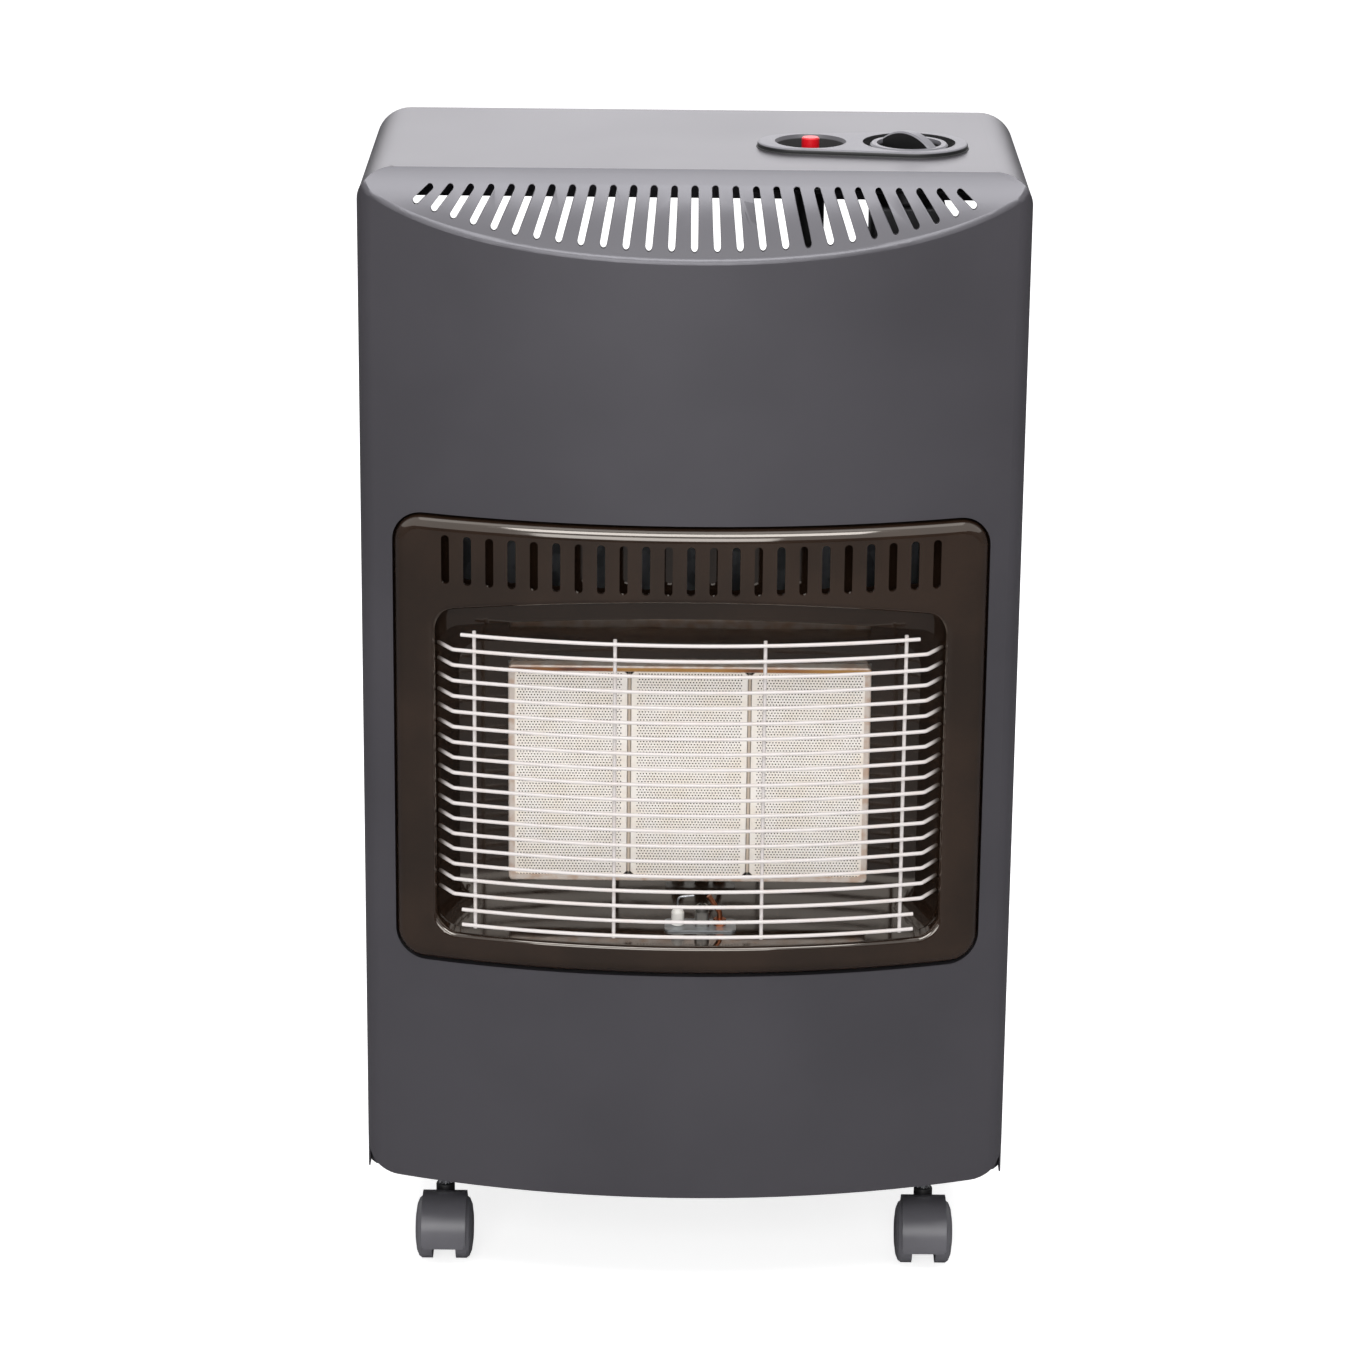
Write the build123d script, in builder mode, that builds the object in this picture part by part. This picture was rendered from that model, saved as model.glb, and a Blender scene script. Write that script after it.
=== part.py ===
from build123d import *
import math
import os

# Cabinet gas heater on castors: three ceramic plaques behind a wire guard, in a
# narrow sheet-steel cabinet with a bowed front and an open back that stands over
# a bottle tray.  Millimetres, +Z up, front faces -Y, origin on the floor under
# the middle of the overall box.

os.makedirs("parts", exist_ok=True)

# ---------------------------------------------------------------- driving sizes
# cabinet
cabinet_width = 400.0
cabinet_top = 718.0
cabinet_bottom = 75.0
cabinet_depth = 180.0        # front seam to rear edge of the shell
tray_reach = 331.0           # front seam to rear face of the bottle tray
sheet = 1.0                  # painted steel
corner_radius = 22.0         # bend between the sides and the top
fit_gap = 0.3                # between parts that nest
rear_flange = 12.0           # turned-in rear edge of each side
rear_skirt = 56.0            # turned-down rear edge of the top

# front pressing
front_depth = 50.0           # seam to the middle of the bowed face
bow_sagitta = 40.0           # bow of the face over the full width
side_roll = 14.0             # plan radius between face and side
foot_radius = 20.0           # lower corners seen from the front
front_bottom = 77.0
cove_radius = 92.0           # hollow shoulder under the top edge
cove_start = 5.0             # flat top left in front of the seam
smile_z = 673.5              # where the shoulder meets the face, mid width
smile_roll = 5.0             # rounded edge along that line
lip_depth = 10.0             # lap that tucks into the shell
shoulder_slots = 27
shoulder_pitch = 12.0
shoulder_slot_width = 4.7
shoulder_slot_top = 709.5
shoulder_fan = 290.0         # height of the fan's centre above the slot tops
shoulder_margin = 5.5        # metal left between a slot and the face

# burner surround
window_width = 360.0
window_bottom = 225.0
window_top = 512.0
window_radius = 19.0
window_lip = 8.9             # turned-in edge of the window
surround_gap = 1.5
surround_proud = 4.0
surround_roll = 8.0
mouth_width = 308.0
mouth_bottom = 246.0
mouth_top = 465.0            # crown of the arched top edge
mouth_shoulder = 452.0       # its ends
mouth_radius = 14.0
mouth_roll = 3.0
enamel_sheet = 1.0
grille_slots = 23
grille_pitch = 13.4
grille_slot_width = 5.0
grille_slot_length = 31.0
grille_mid_z = 485.2

# reflector box behind the mouth
reflector_sheet = 0.8
reflector_back = 19.0        # behind the seam
reflector_rim = 6.0          # flange beyond the window edge
throat_front_z = (246.0, 459.0)
throat_back_z = (246.0, 418.0)
throat_front_x = 163.5
throat_back_x = 142.0

# wire guard
wire = 2.3
guard_rows = 20
guard_pitch = 9.8
guard_bottom = 253.4
guard_stand = 2.0            # wire centre in front of the surround face
guard_reach_x = 143.0        # bend of the long wires
guard_free_x = 138.0         # cut ends of the short wires
guard_post_x = (45.0, 130.0)
guard_short_rows = (0, 1, 19)
guard_leg_back = 15.0
guard_leg_out = 9.4
weld_gap = 0.1               # left where wires cross, filled by the weld

# burner
plaque_width = 72.2
plaque_height = 138.0
plaque_thick = 13.0
plaque_gap = 1.8             # holds the plenum's divider
plaque_corner = 4.4
plaque_edge = 0.6            # broken front edge
burner_z = 335.0             # mid height
burner_face = 12.3           # plaque face behind the seam
rim_lip = 2.4                # rim over the plaque edges
rim_side = 1.2
rim_corner = 3.0
plenum_wall = 1.2
plenum_flange = 6.0
plenum_depth = 30.0
plenum_ledge = 1.0           # step that the plaques rest on
plenum_round = 5.0
divider_back = 1.5           # divider's edge behind the plaque face
mixer_radius = 9.0
mixer_bell = 14.0
mixer_throat = 8.5
mixer_flare = 3.8            # narrowing over the bell mouth
mixer_wall = 1.5
mixer_mouth_z = 222.0
mixer_top_z = 372.0
mixer_behind = 14.5          # tube axis behind the plenum
injector_length = 12.0
injector_radius = 4.0
injector_hex = 10.0
injector_bore = 1.2
injector_taper = 15.0
bar_size = 14.0
bar_top_z = 203.0
bar_nut = 6.0
pipe = 6.0
tube_sides = 10
pipe_drop = 12.0             # lowest run of the first pipe below its nut
pipe_step = 10.0             # further drop of each next pipe
pipe_bend = 9.0
pilot_bend = 5.0
probe_lead_bend = 4.5
lead_bend = 7.0

# pilot set
pilot_x = 8.0
pilot_behind = -18.0         # from the seam, inside the recess
pilot_plate = 1.2
pilot_plate_size = (44.0, 20.0)
pilot_plate_corner = 3.0
pilot_slot = (40.0, 9.0)     # slot in the floor under the plate
pilot_burner_height = 13.0
pilot_burner_size = 9.0
pilot_burner_corner = 2.0
flame_slot = 2.0
spark_wire = 1.4
spark_rise = 6.5             # wire above the insulator, then its hook
spark_hook = (10.0, 1.0)
spark_bend = 3.0
probe_size = 3.2
probe_rise = 8.0             # probe above the plate, then its lean
probe_lean = (7.0, 11.0)
probe_bend = 5.0
probe_nut = (7.0, 4.0)       # flats and height
electrode_offset = -14.0     # from the middle of the pilot plate
port_offset = 1.0
probe_offset = 12.0
insulator_height = 11.5
insulator_foot = 4.0
lead = 3.0
pilot_pipe_size = 4.0
probe_lead_size = 2.4
lead_drop = 9.0              # clear of the reflector box
lead_step = 6.0              # between neighbouring leads

# heat shield
shield_behind = 79.0
shield_bottom = 110.0
shield_top = 600.0
shield_sheet = 0.8
shield_flange = 14.0
vent_count = 9
vent_pitch = 30.0
vent_length = 28.0
vent_width = 8.0

# controls
control_behind = 66.0        # row of the controls behind the seam
knob_inset = 71.0            # knob's axis from the cabinet's right side
button_spacing = 59.5        # from the knob's axis to the button's
bezel_height = 3.5
bezel_right_radius = 33.0
bezel_left_radius = 24.0
bezel_tip = 32.0             # bezel beyond the button's axis
bezel_end = 35.5             # and beyond the knob's
bezel_round = 1.5
bezel_wall = 2.0
button_well = 21.5
button_well_slope = 28.0
knob_well_slope = 10.0
button_floor = 709.5
knob_well = 28.0
knob_floor = 706.5
knob_radius = 23.5
knob_base = 711.5
knob_ring_top = 721.0
knob_bar_top = 728.0
knob_bar_angle = -47.0
knob_travel = 4.0
spindle_radius = 4.0
plunger_radius = 2.0
running = 0.06               # radial clearance of shafts
button_radius = 5.4
button_top = 724.0
button_bottom = 698.0
button_play = 0.3
button_round = 0.7
igniter_radius = 9.0
igniter_bottom = 640.0
bracket_z = 696.0
bracket_sheet = 1.5
valve_width = 46.0
valve_deep = 38.0
valve_bottom = 645.0
valve_top = 686.0
valve_collar = 12.0
valve_neck = 8.0
valve_corner = 5.0
valve_round = 3.0
pilot_nut = 10.0             # flats
magnet_size = 14.0
nut_flats = 12.0
nut_height = 10.0
nut_seat = 2.0               # end of a pipe inside its nut
mounting_nut = 3.0
spindle_foot = 682.0         # foot of the shaft, on the plunger
plunger_length = 16.0
plunger_stop = 2.0           # bore left below the pressed plunger
spindle_flat = 1.6
knob_roof = 4.0              # knob left above the end of the shaft
knob_rim = 4.0
knob_round = 1.0
knob_bar = 7.2
bracket_depth = 44.0
bracket_tab = 10.0
igniter_foot = 5.0
outlet_offsets = (-11.0, 2.0, 15.0)   # burner outlets from the knob's axis
pilot_outlet_z = 23.0        # above the valve's bottom
probe_outlet_z = 15.0
inlet_z = 7.5
nozzle_hex = 7.0
nozzle_plain = 14.0
nozzle_lead = 5.0
nozzle_radius = 4.0

# bottle tray and hoop
tray_sheet = 1.2
tray_wall = 30.0
tray_rear_radius = 30.0
tray_front_radius = 6.0
tray_foot = 2.0              # broken lower edge
tray_hole = 16.0
tray_hole_ring = 69.6        # small holes round the middle one
tray_hole_count = 8
bead_width = 8.0
bead_height = 3.0
tray_ring = 116.0            # bead that locates the bottle
hoop_rod = 7.0
hoop_z = 300.0
hoop_pivot_behind = 12.0     # pivot behind the shell's rear edge
hoop_inset = 20.0            # arm from the cabinet's side
hoop_corner = 40.0
stop_reach = 5.0             # stop behind the pivot
hoop_rear_gap = 5.0
ear_sheet = 2.0
ear_reach = 20.0             # ear behind the shell
ear_height = 24.0
ear_flange = 44.0
ear_corner = 3.0
ear_flange_corner = 2.0
ear_screw_pitch = 32.0
screw_radius = 3.4
screw_head = 2.2

# castors
castor_inset = 46.3          # stem axis from the cabinet's side
castor_front_behind = 40.0   # stem axis behind the seam
castor_rear_inset = 42.0     # stem axis ahead of the tray's rear face
castor_trail = 12.0
wheel_radius = 20.0
wheel_inner = 7.5
wheel_outer = 18.4
tread_outer = 14.2
axle_radius = 2.5
axle_half = 16.0
hood_radius = 23.5
hood_half = 14.0
hood_inner_radius = 20.8
hood_bottom = 8.0
hood_top = 47.0
hood_boss = 9.0
hood_corner = 5.0
web_half = 7.1
collar_radius = 6.6
collar_height = 8.5
collar_round = 1.8
stem_radius = 4.0
stem_top = 84.0
stem_grip = 16.0
press = 0.02                 # press fits of the castor pins
socket_radius = 7.5
socket_flange = 15.0
socket_top = 86.0
socket_wall = 1.6
socket_plate = 2.0

# ---------------------------------------------------------------- derived frame
half_width = cabinet_width / 2
guard_reach = front_depth + surround_proud + guard_stand + wire / 2
seam_y = (guard_reach - tray_reach) / 2
front_y = seam_y - front_depth
shell_rear_y = seam_y + cabinet_depth
tray_rear_y = seam_y + tray_reach
bow_radius = (half_width ** 2 + bow_sagitta ** 2) / (2 * bow_sagitta)
bow_centre_y = front_y + bow_radius
control_y = seam_y + control_behind
plaque_y = seam_y + burner_face
window_mid_z = (window_bottom + window_top) / 2
window_height = window_top - window_bottom
shell_opening_top = cabinet_top - rear_skirt
knob_x = half_width - knob_inset
button_x = knob_x - button_spacing
bezel_tip_x = button_x - bezel_tip
bezel_end_x = knob_x + bezel_end
outlet_x = [knob_x + offset for offset in outlet_offsets]
castor_x = half_width - castor_inset
hoop_half_width = half_width - hoop_inset


def face_y(x, proud=0.0):
    """Y of the bowed face at x, or of a surface parallel to it."""
    return bow_centre_y - math.sqrt((bow_radius + proud) ** 2 - x ** 2)


def cove_centre():
    """Centre of the shoulder's hollow arc in the YZ plane."""
    top = Vector(seam_y - cove_start, cabinet_top)
    foot = Vector(front_y, smile_z)
    chord = foot - top
    middle = (top + foot) * 0.5
    rise = math.sqrt(cove_radius ** 2 - (chord.length / 2) ** 2)
    outward = Vector(chord.Y, -chord.X).normalized()
    return middle + outward * rise


cove_mid = cove_centre()


def cove_z(y):
    """Height of the shoulder's surface at y."""
    return cove_mid.Y - math.sqrt(cove_radius ** 2 - (y - cove_mid.X) ** 2)


def save(part, name):
    """Label one finished piece and write its file."""
    part.label = name
    export_step(part, f"parts/{name}.step")


# ---------------------------------------------------------------- cabinet shell
def arch(inset, low):
    """Outline of the cabinet seen from the front, open corners at the bottom."""
    width = cabinet_width - 2 * inset
    height = cabinet_top - inset - low
    with BuildSketch(mode=Mode.PRIVATE) as outline:
        with Locations((0, low + height / 2)):
            Rectangle(width, height)
        fillet(outline.vertices().group_by(Axis.Y)[-1], corner_radius - inset)
    return outline.sketch


def egg(shrink):
    """Outline of the control bezel, a small and a large circle in one skin."""
    left = bezel_left_radius - shrink
    right = bezel_right_radius - shrink
    with BuildSketch(mode=Mode.PRIVATE) as outline:
        with Locations((bezel_tip_x + bezel_left_radius, control_y)):
            Circle(left)
        with Locations((bezel_end_x - bezel_right_radius, control_y)):
            Circle(right)
        make_hull()
    return outline.sketch


with BuildPart() as cabinet_shell:
    with BuildSketch(Plane.XZ.offset(-shell_rear_y)):
        add(arch(0, cabinet_bottom))
        add(arch(sheet, cabinet_bottom - sheet), mode=Mode.SUBTRACT)
    extrude(amount=cabinet_depth)
    with BuildSketch(Plane.XZ.offset(-shell_rear_y)):
        add(arch(0, cabinet_bottom))
        with Locations((0, (cabinet_bottom + shell_opening_top - rear_flange) / 2)):
            RectangleRounded(
                cabinet_width - 2 * rear_flange,
                shell_opening_top - cabinet_bottom + rear_flange,
                rear_flange - sheet,
                mode=Mode.SUBTRACT,
            )
        # the flange stops above the bottle tray
        with Locations((0, cabinet_bottom)):
            Rectangle(cabinet_width - 2 * sheet, 2 * tray_wall + 4 * fit_gap, mode=Mode.SUBTRACT)
    extrude(amount=sheet)
    with BuildSketch(Plane.XY.offset(cabinet_top - 2 * sheet)):
        add(egg(2 * bezel_wall))
    extrude(amount=4 * sheet, mode=Mode.SUBTRACT)
save(cabinet_shell.part, "cabinet_shell")


# ---------------------------------------------------------------- front panel
def pressed_front(inset, back_y):
    """Solid under the front pressing's skin, moved in by inset."""
    low = front_bottom + inset
    high = cabinet_top - inset
    side = half_width - inset
    radius = bow_radius - inset
    with BuildPart() as form:
        with BuildSketch(Plane.XY.offset(low)) as plan:
            with BuildLine():
                corner = bow_centre_y - math.sqrt(radius ** 2 - side ** 2)
                ThreePointArc((-side, corner), (0, front_y + inset), (side, corner))
                Polyline((side, corner), (side, back_y), (-side, back_y), (-side, corner))
            make_face()
            fillet(plan.vertices().sort_by(Axis.Y)[:2], side_roll - inset)
        extrude(amount=high - low)
        with BuildSketch(Plane.XZ.offset(-back_y)) as outline:
            add(arch(inset, low))
            fillet(outline.vertices().group_by(Axis.Y)[0], foot_radius - inset)
        extrude(amount=2 * front_depth, mode=Mode.INTERSECT)
        with BuildSketch(Plane.YZ.offset(-half_width)):
            with Locations((cove_mid.X, cove_mid.Y)):
                Circle(cove_radius + inset)
        extrude(amount=cabinet_width, mode=Mode.SUBTRACT)
        creases = form.edges().filter_by(lambda e: e.center().Z > smile_z - 20)
        smile = creases.filter_by(lambda e: abs(e.center().X) < 5).sort_by(Axis.Y)[0]
        fillet(smile, smile_roll - inset)
    return form.part


def window(grow, front, back):
    """Solid through the window between two surfaces parallel to the face."""
    with BuildPart() as plug:
        with BuildSketch(Plane.XZ.offset(-seam_y)):
            with Locations((0, window_mid_z)):
                RectangleRounded(window_width + 2 * grow, window_height + 2 * grow, window_radius + grow)
        extrude(amount=2 * front_depth)
        with BuildSketch(Plane.XY.offset(window_bottom - 2 * window_radius)):
            with Locations((0, bow_centre_y)):
                Circle(bow_radius - front)
                Circle(bow_radius - back, mode=Mode.SUBTRACT)
        extrude(amount=window_height + 4 * window_radius, mode=Mode.INTERSECT)
    return plug.part


front_skin = pressed_front(0, seam_y)
front_core = pressed_front(sheet, seam_y + sheet)
with BuildPart() as front_panel:
    add(front_skin)
    add(front_core, mode=Mode.SUBTRACT)
    # turned-in edge of the window, then the window itself
    add(window(sheet, sheet / 2, window_lip))
    add(window(0, -sheet, window_lip + sheet), mode=Mode.SUBTRACT)
    # lap joint that tucks into the shell
    lap_low = cabinet_bottom + tray_wall + 2 * fit_gap
    with BuildSketch(Plane.XZ.offset(-seam_y - lip_depth)):
        add(arch(sheet + fit_gap, lap_low))
        add(arch(2 * sheet + fit_gap, lap_low - sheet), mode=Mode.SUBTRACT)
    extrude(amount=lip_depth)
    with BuildSketch(Plane.XZ.offset(-seam_y)):
        add(arch(sheet / 2, lap_low))
        add(arch(2 * sheet + fit_gap, lap_low - sheet), mode=Mode.SUBTRACT)
    extrude(amount=2 * sheet)
    # fanned outlet slots through the hollow shoulder
    with BuildSketch(Plane.XZ.offset(cove_start / 2 - seam_y)):
        for index in range(shoulder_slots):
            top_x = (index - (shoulder_slots - 1) / 2) * shoulder_pitch
            lean = top_x / shoulder_fan
            drop = shoulder_slot_top - cove_z(face_y(top_x) + shoulder_margin)
            foot_x = top_x + drop * lean
            foot_z = cove_z(face_y(foot_x) + shoulder_margin)
            upper = Vector(top_x, shoulder_slot_top - shoulder_slot_width / 2)
            lower = Vector(foot_x, foot_z + shoulder_slot_width / 2)
            run = lower - upper
            with Locations((upper + lower) * 0.5):
                turn = math.degrees(math.atan2(run.Y, run.X))
                SlotCenterToCenter(run.length, shoulder_slot_width, rotation=turn)
    extrude(amount=front_depth, mode=Mode.SUBTRACT)
save(front_panel.part, "front_panel")


# ---------------------------------------------------------------- burner surround
def mouth_outline(grow):
    """Arched opening of the surround, seen from the front."""
    half = mouth_width / 2 + grow
    low = mouth_bottom - grow
    side_top = mouth_shoulder + grow
    with BuildSketch(mode=Mode.PRIVATE) as outline:
        with BuildLine():
            Polyline((-half, side_top), (-half, low), (half, low), (half, side_top))
            ThreePointArc((half, side_top), (0, mouth_top + grow), (-half, side_top))
        make_face()
        fillet(outline.vertices(), mouth_radius + grow)
    return outline.sketch


def enamel_form(inset, depth):
    """Solid under the surround's skin, moved in by inset, depth behind the face."""
    with BuildPart() as form:
        with BuildSketch(Plane.XZ.offset(-seam_y)):
            with Locations((0, window_mid_z)):
                RectangleRounded(
                    window_width - 2 * surround_gap - 2 * inset,
                    window_height - 2 * surround_gap - 2 * inset,
                    window_radius - surround_gap - inset,
                )
            add(mouth_outline(inset), mode=Mode.SUBTRACT)
        extrude(amount=2 * front_depth)
        with BuildSketch(Plane.XY.offset(window_bottom - window_radius)):
            with Locations((0, bow_centre_y)):
                Circle(bow_radius + surround_proud - inset)
                Circle(bow_radius - depth, mode=Mode.SUBTRACT)
        extrude(amount=window_height + 2 * window_radius, mode=Mode.INTERSECT)
        face = form.faces().filter_by(GeomType.CYLINDER).sort_by(SortBy.AREA)[-2:].sort_by(Axis.Y)[0]
        fillet(face.outer_wire().edges(), surround_roll - inset)
        face = form.faces().filter_by(GeomType.CYLINDER).sort_by(SortBy.AREA)[-2:].sort_by(Axis.Y)[0]
        fillet(face.inner_wires()[0].edges(), mouth_roll - inset)
    return form.part


surround_skin = enamel_form(0, window_lip)
surround_core = enamel_form(enamel_sheet, window_lip + 2 * enamel_sheet)
with BuildPart() as burner_surround:
    add(surround_skin)
    add(surround_core, mode=Mode.SUBTRACT)
    with BuildSketch(Plane.XZ.offset(-seam_y)):
        with Locations((0, grille_mid_z)):
            with GridLocations(grille_pitch, 0, grille_slots, 1):
                SlotOverall(grille_slot_length, grille_slot_width, rotation=90)
    extrude(amount=2 * front_depth, mode=Mode.SUBTRACT)
save(burner_surround.part, "burner_surround")


# ---------------------------------------------------------------- reflector box
def throat(inset, front, back):
    """Tapered throat from the mouth to the burner, its skin moved in by inset."""
    with BuildPart() as taper:
        for y, half, (low, high) in (
            (front, throat_front_x, throat_front_z),
            (back, throat_back_x, throat_back_z),
        ):
            with BuildSketch(Plane.XZ.offset(-y)):
                with Locations((0, (low + high) / 2)):
                    RectangleRounded(2 * (half - inset), high - low - 2 * inset, mouth_radius)
        loft(ruled=True)
    return taper.part


reflector_front = front_y - surround_proud
reflector_rear = seam_y + reflector_back
flange_front = window_lip + fit_gap
throat_skin = throat(-reflector_sheet, reflector_front, reflector_rear + reflector_sheet)
throat_core = throat(0, reflector_front, reflector_rear)
rim_half_x = 1.5 * plaque_width + plaque_gap + rim_side + fit_gap
rim_half_z = plaque_height / 2 + rim_side + fit_gap
with BuildPart() as reflector_box:
    add(throat_skin)
    # trim the throat's front edge along the bow, then add its flange
    with BuildSketch(Plane.XY.offset(window_bottom - window_radius)):
        with Locations((0, bow_centre_y)):
            Circle(bow_radius - flange_front)
    extrude(amount=window_height + 2 * window_radius, mode=Mode.INTERSECT)
    add(window(reflector_rim, flange_front, flange_front + reflector_sheet))
    add(throat_core, mode=Mode.SUBTRACT)
    with BuildSketch(Plane.XZ.offset(-reflector_rear - 2 * reflector_sheet)):
        with Locations((0, burner_z)):
            Rectangle(2 * (rim_half_x + fit_gap), 2 * (rim_half_z + fit_gap))
    extrude(amount=4 * reflector_sheet, mode=Mode.SUBTRACT)
    # air openings behind the grille slots
    with BuildSketch(Plane.XZ.offset(-seam_y)):
        with Locations((0, grille_mid_z)):
            with GridLocations(2 * grille_pitch, 0, grille_slots // 2, 1):
                SlotOverall(grille_slot_length, grille_pitch, rotation=90)
    extrude(amount=2 * front_depth, mode=Mode.SUBTRACT)
    # slot in the floor for the pilot pipe and leads
    with BuildSketch(Plane.XY.offset(throat_front_z[0] - front_depth)):
        with Locations((pilot_x, seam_y + pilot_behind)):
            SlotOverall(*pilot_slot)
    extrude(amount=front_depth + 10, mode=Mode.SUBTRACT)
save(reflector_box.part, "reflector_box")

# ---------------------------------------------------------------- wire guard
guard_lean = wire + weld_gap


def guard_y(x):
    """Centre line of the guard's bowed wires at x."""
    return face_y(x, surround_proud + guard_stand)


with BuildPart() as wire_guard:
    # each wire is a solid of its own, spot-welded to the posts behind it
    for row in range(guard_rows):
        z = guard_bottom + row * guard_pitch
        reach = guard_free_x if row in guard_short_rows else guard_reach_x
        with BuildLine(Plane.XY.offset(z)) as path:
            bow = ThreePointArc((-reach, guard_y(reach)), (0, guard_y(0)), (reach, guard_y(reach)))
            if row not in guard_short_rows:
                leg = (reach + guard_leg_out, guard_y(reach) + guard_leg_back)
                Line((-leg[0], leg[1]), bow @ 0)
                Line(bow @ 1, leg)
        with BuildSketch(Plane(origin=path.wire() @ 0, z_dir=path.wire() % 0)):
            RegularPolygon(wire / 2, 8)
        sweep(path=path.wire(), transition=Transition.RIGHT)
    for x in guard_post_x:
        for side in (-1, 1):
            post_foot = (side * x, guard_y(x) + guard_lean, guard_bottom - wire)
            with BuildSketch(Plane(origin=post_foot)):
                RegularPolygon(wire / 2, 8)
            extrude(amount=(guard_rows - 1) * guard_pitch + 2 * wire)
save(wire_guard.part, "wire_guard")

# ---------------------------------------------------------------- burner
plaque_pitch = plaque_width + plaque_gap
plaque_names = ("left", "centre", "right")
plaque_x = [(index - 1) * plaque_pitch for index in range(3)]

for name, x in zip(plaque_names, plaque_x):
    with BuildPart() as plaque:
        with BuildSketch(Plane.XZ.offset(-plaque_y)):
            with Locations((x, burner_z)):
                Rectangle(plaque_width, plaque_height)
        extrude(amount=-plaque_thick)
        chamfer(plaque.edges().filter_by(Axis.Y), plaque_corner)
        chamfer(plaque.faces().sort_by(Axis.Y)[0].edges(), plaque_edge)
    save(plaque.part, f"ceramic_plaque_{name}")

rim_front = plaque_y - rim_side
plenum_front = reflector_rear + reflector_sheet + fit_gap / 3
plenum_half_x = 1.5 * plaque_width + plaque_gap + fit_gap
plenum_half_z = plaque_height / 2 + fit_gap

with BuildPart() as burner_rim:
    with BuildSketch(Plane.XZ.offset(-rim_front)):
        with Locations((0, burner_z)):
            RectangleRounded(2 * (plenum_half_x + rim_side), 2 * (plenum_half_z + rim_side), rim_corner)
    extrude(amount=rim_front - plenum_front)
    fillet(burner_rim.faces().sort_by(Axis.Y)[0].edges(), rim_side)
    with BuildSketch(Plane.XZ.offset(-plenum_front)):
        with Locations((0, burner_z)):
            Rectangle(2 * plenum_half_x, 2 * plenum_half_z)
    extrude(amount=plenum_front - plaque_y, mode=Mode.SUBTRACT)
    with BuildSketch(Plane.XZ.offset(-plenum_front)):
        with Locations((0, burner_z)):
            RectangleRounded(
                3 * plaque_pitch - plaque_gap - 2 * rim_lip,
                plaque_height - 2 * rim_lip,
                rim_corner,
            )
    extrude(amount=plenum_front - rim_front + rim_side, mode=Mode.SUBTRACT)
save(burner_rim.part, "burner_rim")

seat_y = plaque_y + plaque_thick + fit_gap
with BuildPart() as burner_plenum:
    # straight seat that holds the plaques, then a dished back
    with BuildSketch(Plane.XZ.offset(-plenum_front)):
        with Locations((0, burner_z)):
            Rectangle(2 * plenum_half_x + 2 * plenum_wall, 2 * plenum_half_z + 2 * plenum_wall)
    extrude(amount=plenum_front - seat_y)
    with BuildSketch(Plane.XZ.offset(-seat_y)):
        with Locations((0, burner_z)):
            Rectangle(2 * plenum_half_x + 2 * plenum_wall, 2 * plenum_half_z + 2 * plenum_wall)
    extrude(amount=seat_y - plenum_front - plenum_depth, taper=12)
    fillet(burner_plenum.faces().sort_by(Axis.Y)[-1].edges(), plenum_round)
    with BuildSketch(Plane.XZ.offset(-plenum_front)):
        with Locations((0, burner_z)):
            Rectangle(2 * plenum_half_x, 2 * plenum_half_z)
    extrude(amount=plenum_front - seat_y, mode=Mode.SUBTRACT)
    with BuildSketch(Plane.XZ.offset(-seat_y)):
        with Locations((0, burner_z)):
            Rectangle(2 * (plenum_half_x - plenum_ledge), 2 * (plenum_half_z - plenum_ledge))
    extrude(amount=seat_y - plenum_front - plenum_depth + plenum_wall, taper=14, mode=Mode.SUBTRACT)
    with BuildSketch(Plane.XZ.offset(-plenum_front)):
        with Locations((0, burner_z)):
            RectangleRounded(
                2 * (plenum_half_x + plenum_wall + plenum_flange),
                2 * (plenum_half_z + plenum_wall + plenum_flange),
                plenum_flange,
            )
            Rectangle(2 * plenum_half_x, 2 * plenum_half_z, mode=Mode.SUBTRACT)
    extrude(amount=-plenum_wall)
    # dividers that close the gaps between the plaques
    with BuildSketch(Plane.XZ.offset(-plaque_y - divider_back)):
        with Locations((0, burner_z)):
            with GridLocations(plaque_pitch, 0, 2, 1):
                Rectangle(plaque_gap - 2 * fit_gap, 2 * (plenum_half_z - fit_gap))
    extrude(amount=plaque_y + divider_back - seat_y - plenum_ledge)
save(burner_plenum.part, "burner_plenum")

# mixing tubes: bell mouth, throat and diffuser, with a neck into the plenum
mixer_y = plenum_front + plenum_depth + mixer_behind


def mixer_profile(inset):
    """Half outline of a mixing tube, moved in by inset."""
    with BuildLine(mode=Mode.PRIVATE) as outline:
        Polyline(
            (0, mixer_mouth_z),
            (mixer_bell - inset, mixer_mouth_z),
            (mixer_bell - mixer_flare - inset, mixer_mouth_z + 0.7 * mixer_bell),
            (mixer_throat - inset, mixer_mouth_z + 2 * mixer_bell),
            (mixer_radius - inset, mixer_top_z - mixer_radius),
            (mixer_radius - inset, mixer_top_z - inset),
            (0, mixer_top_z - inset),
            close=True,
        )
    return outline.line


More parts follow.
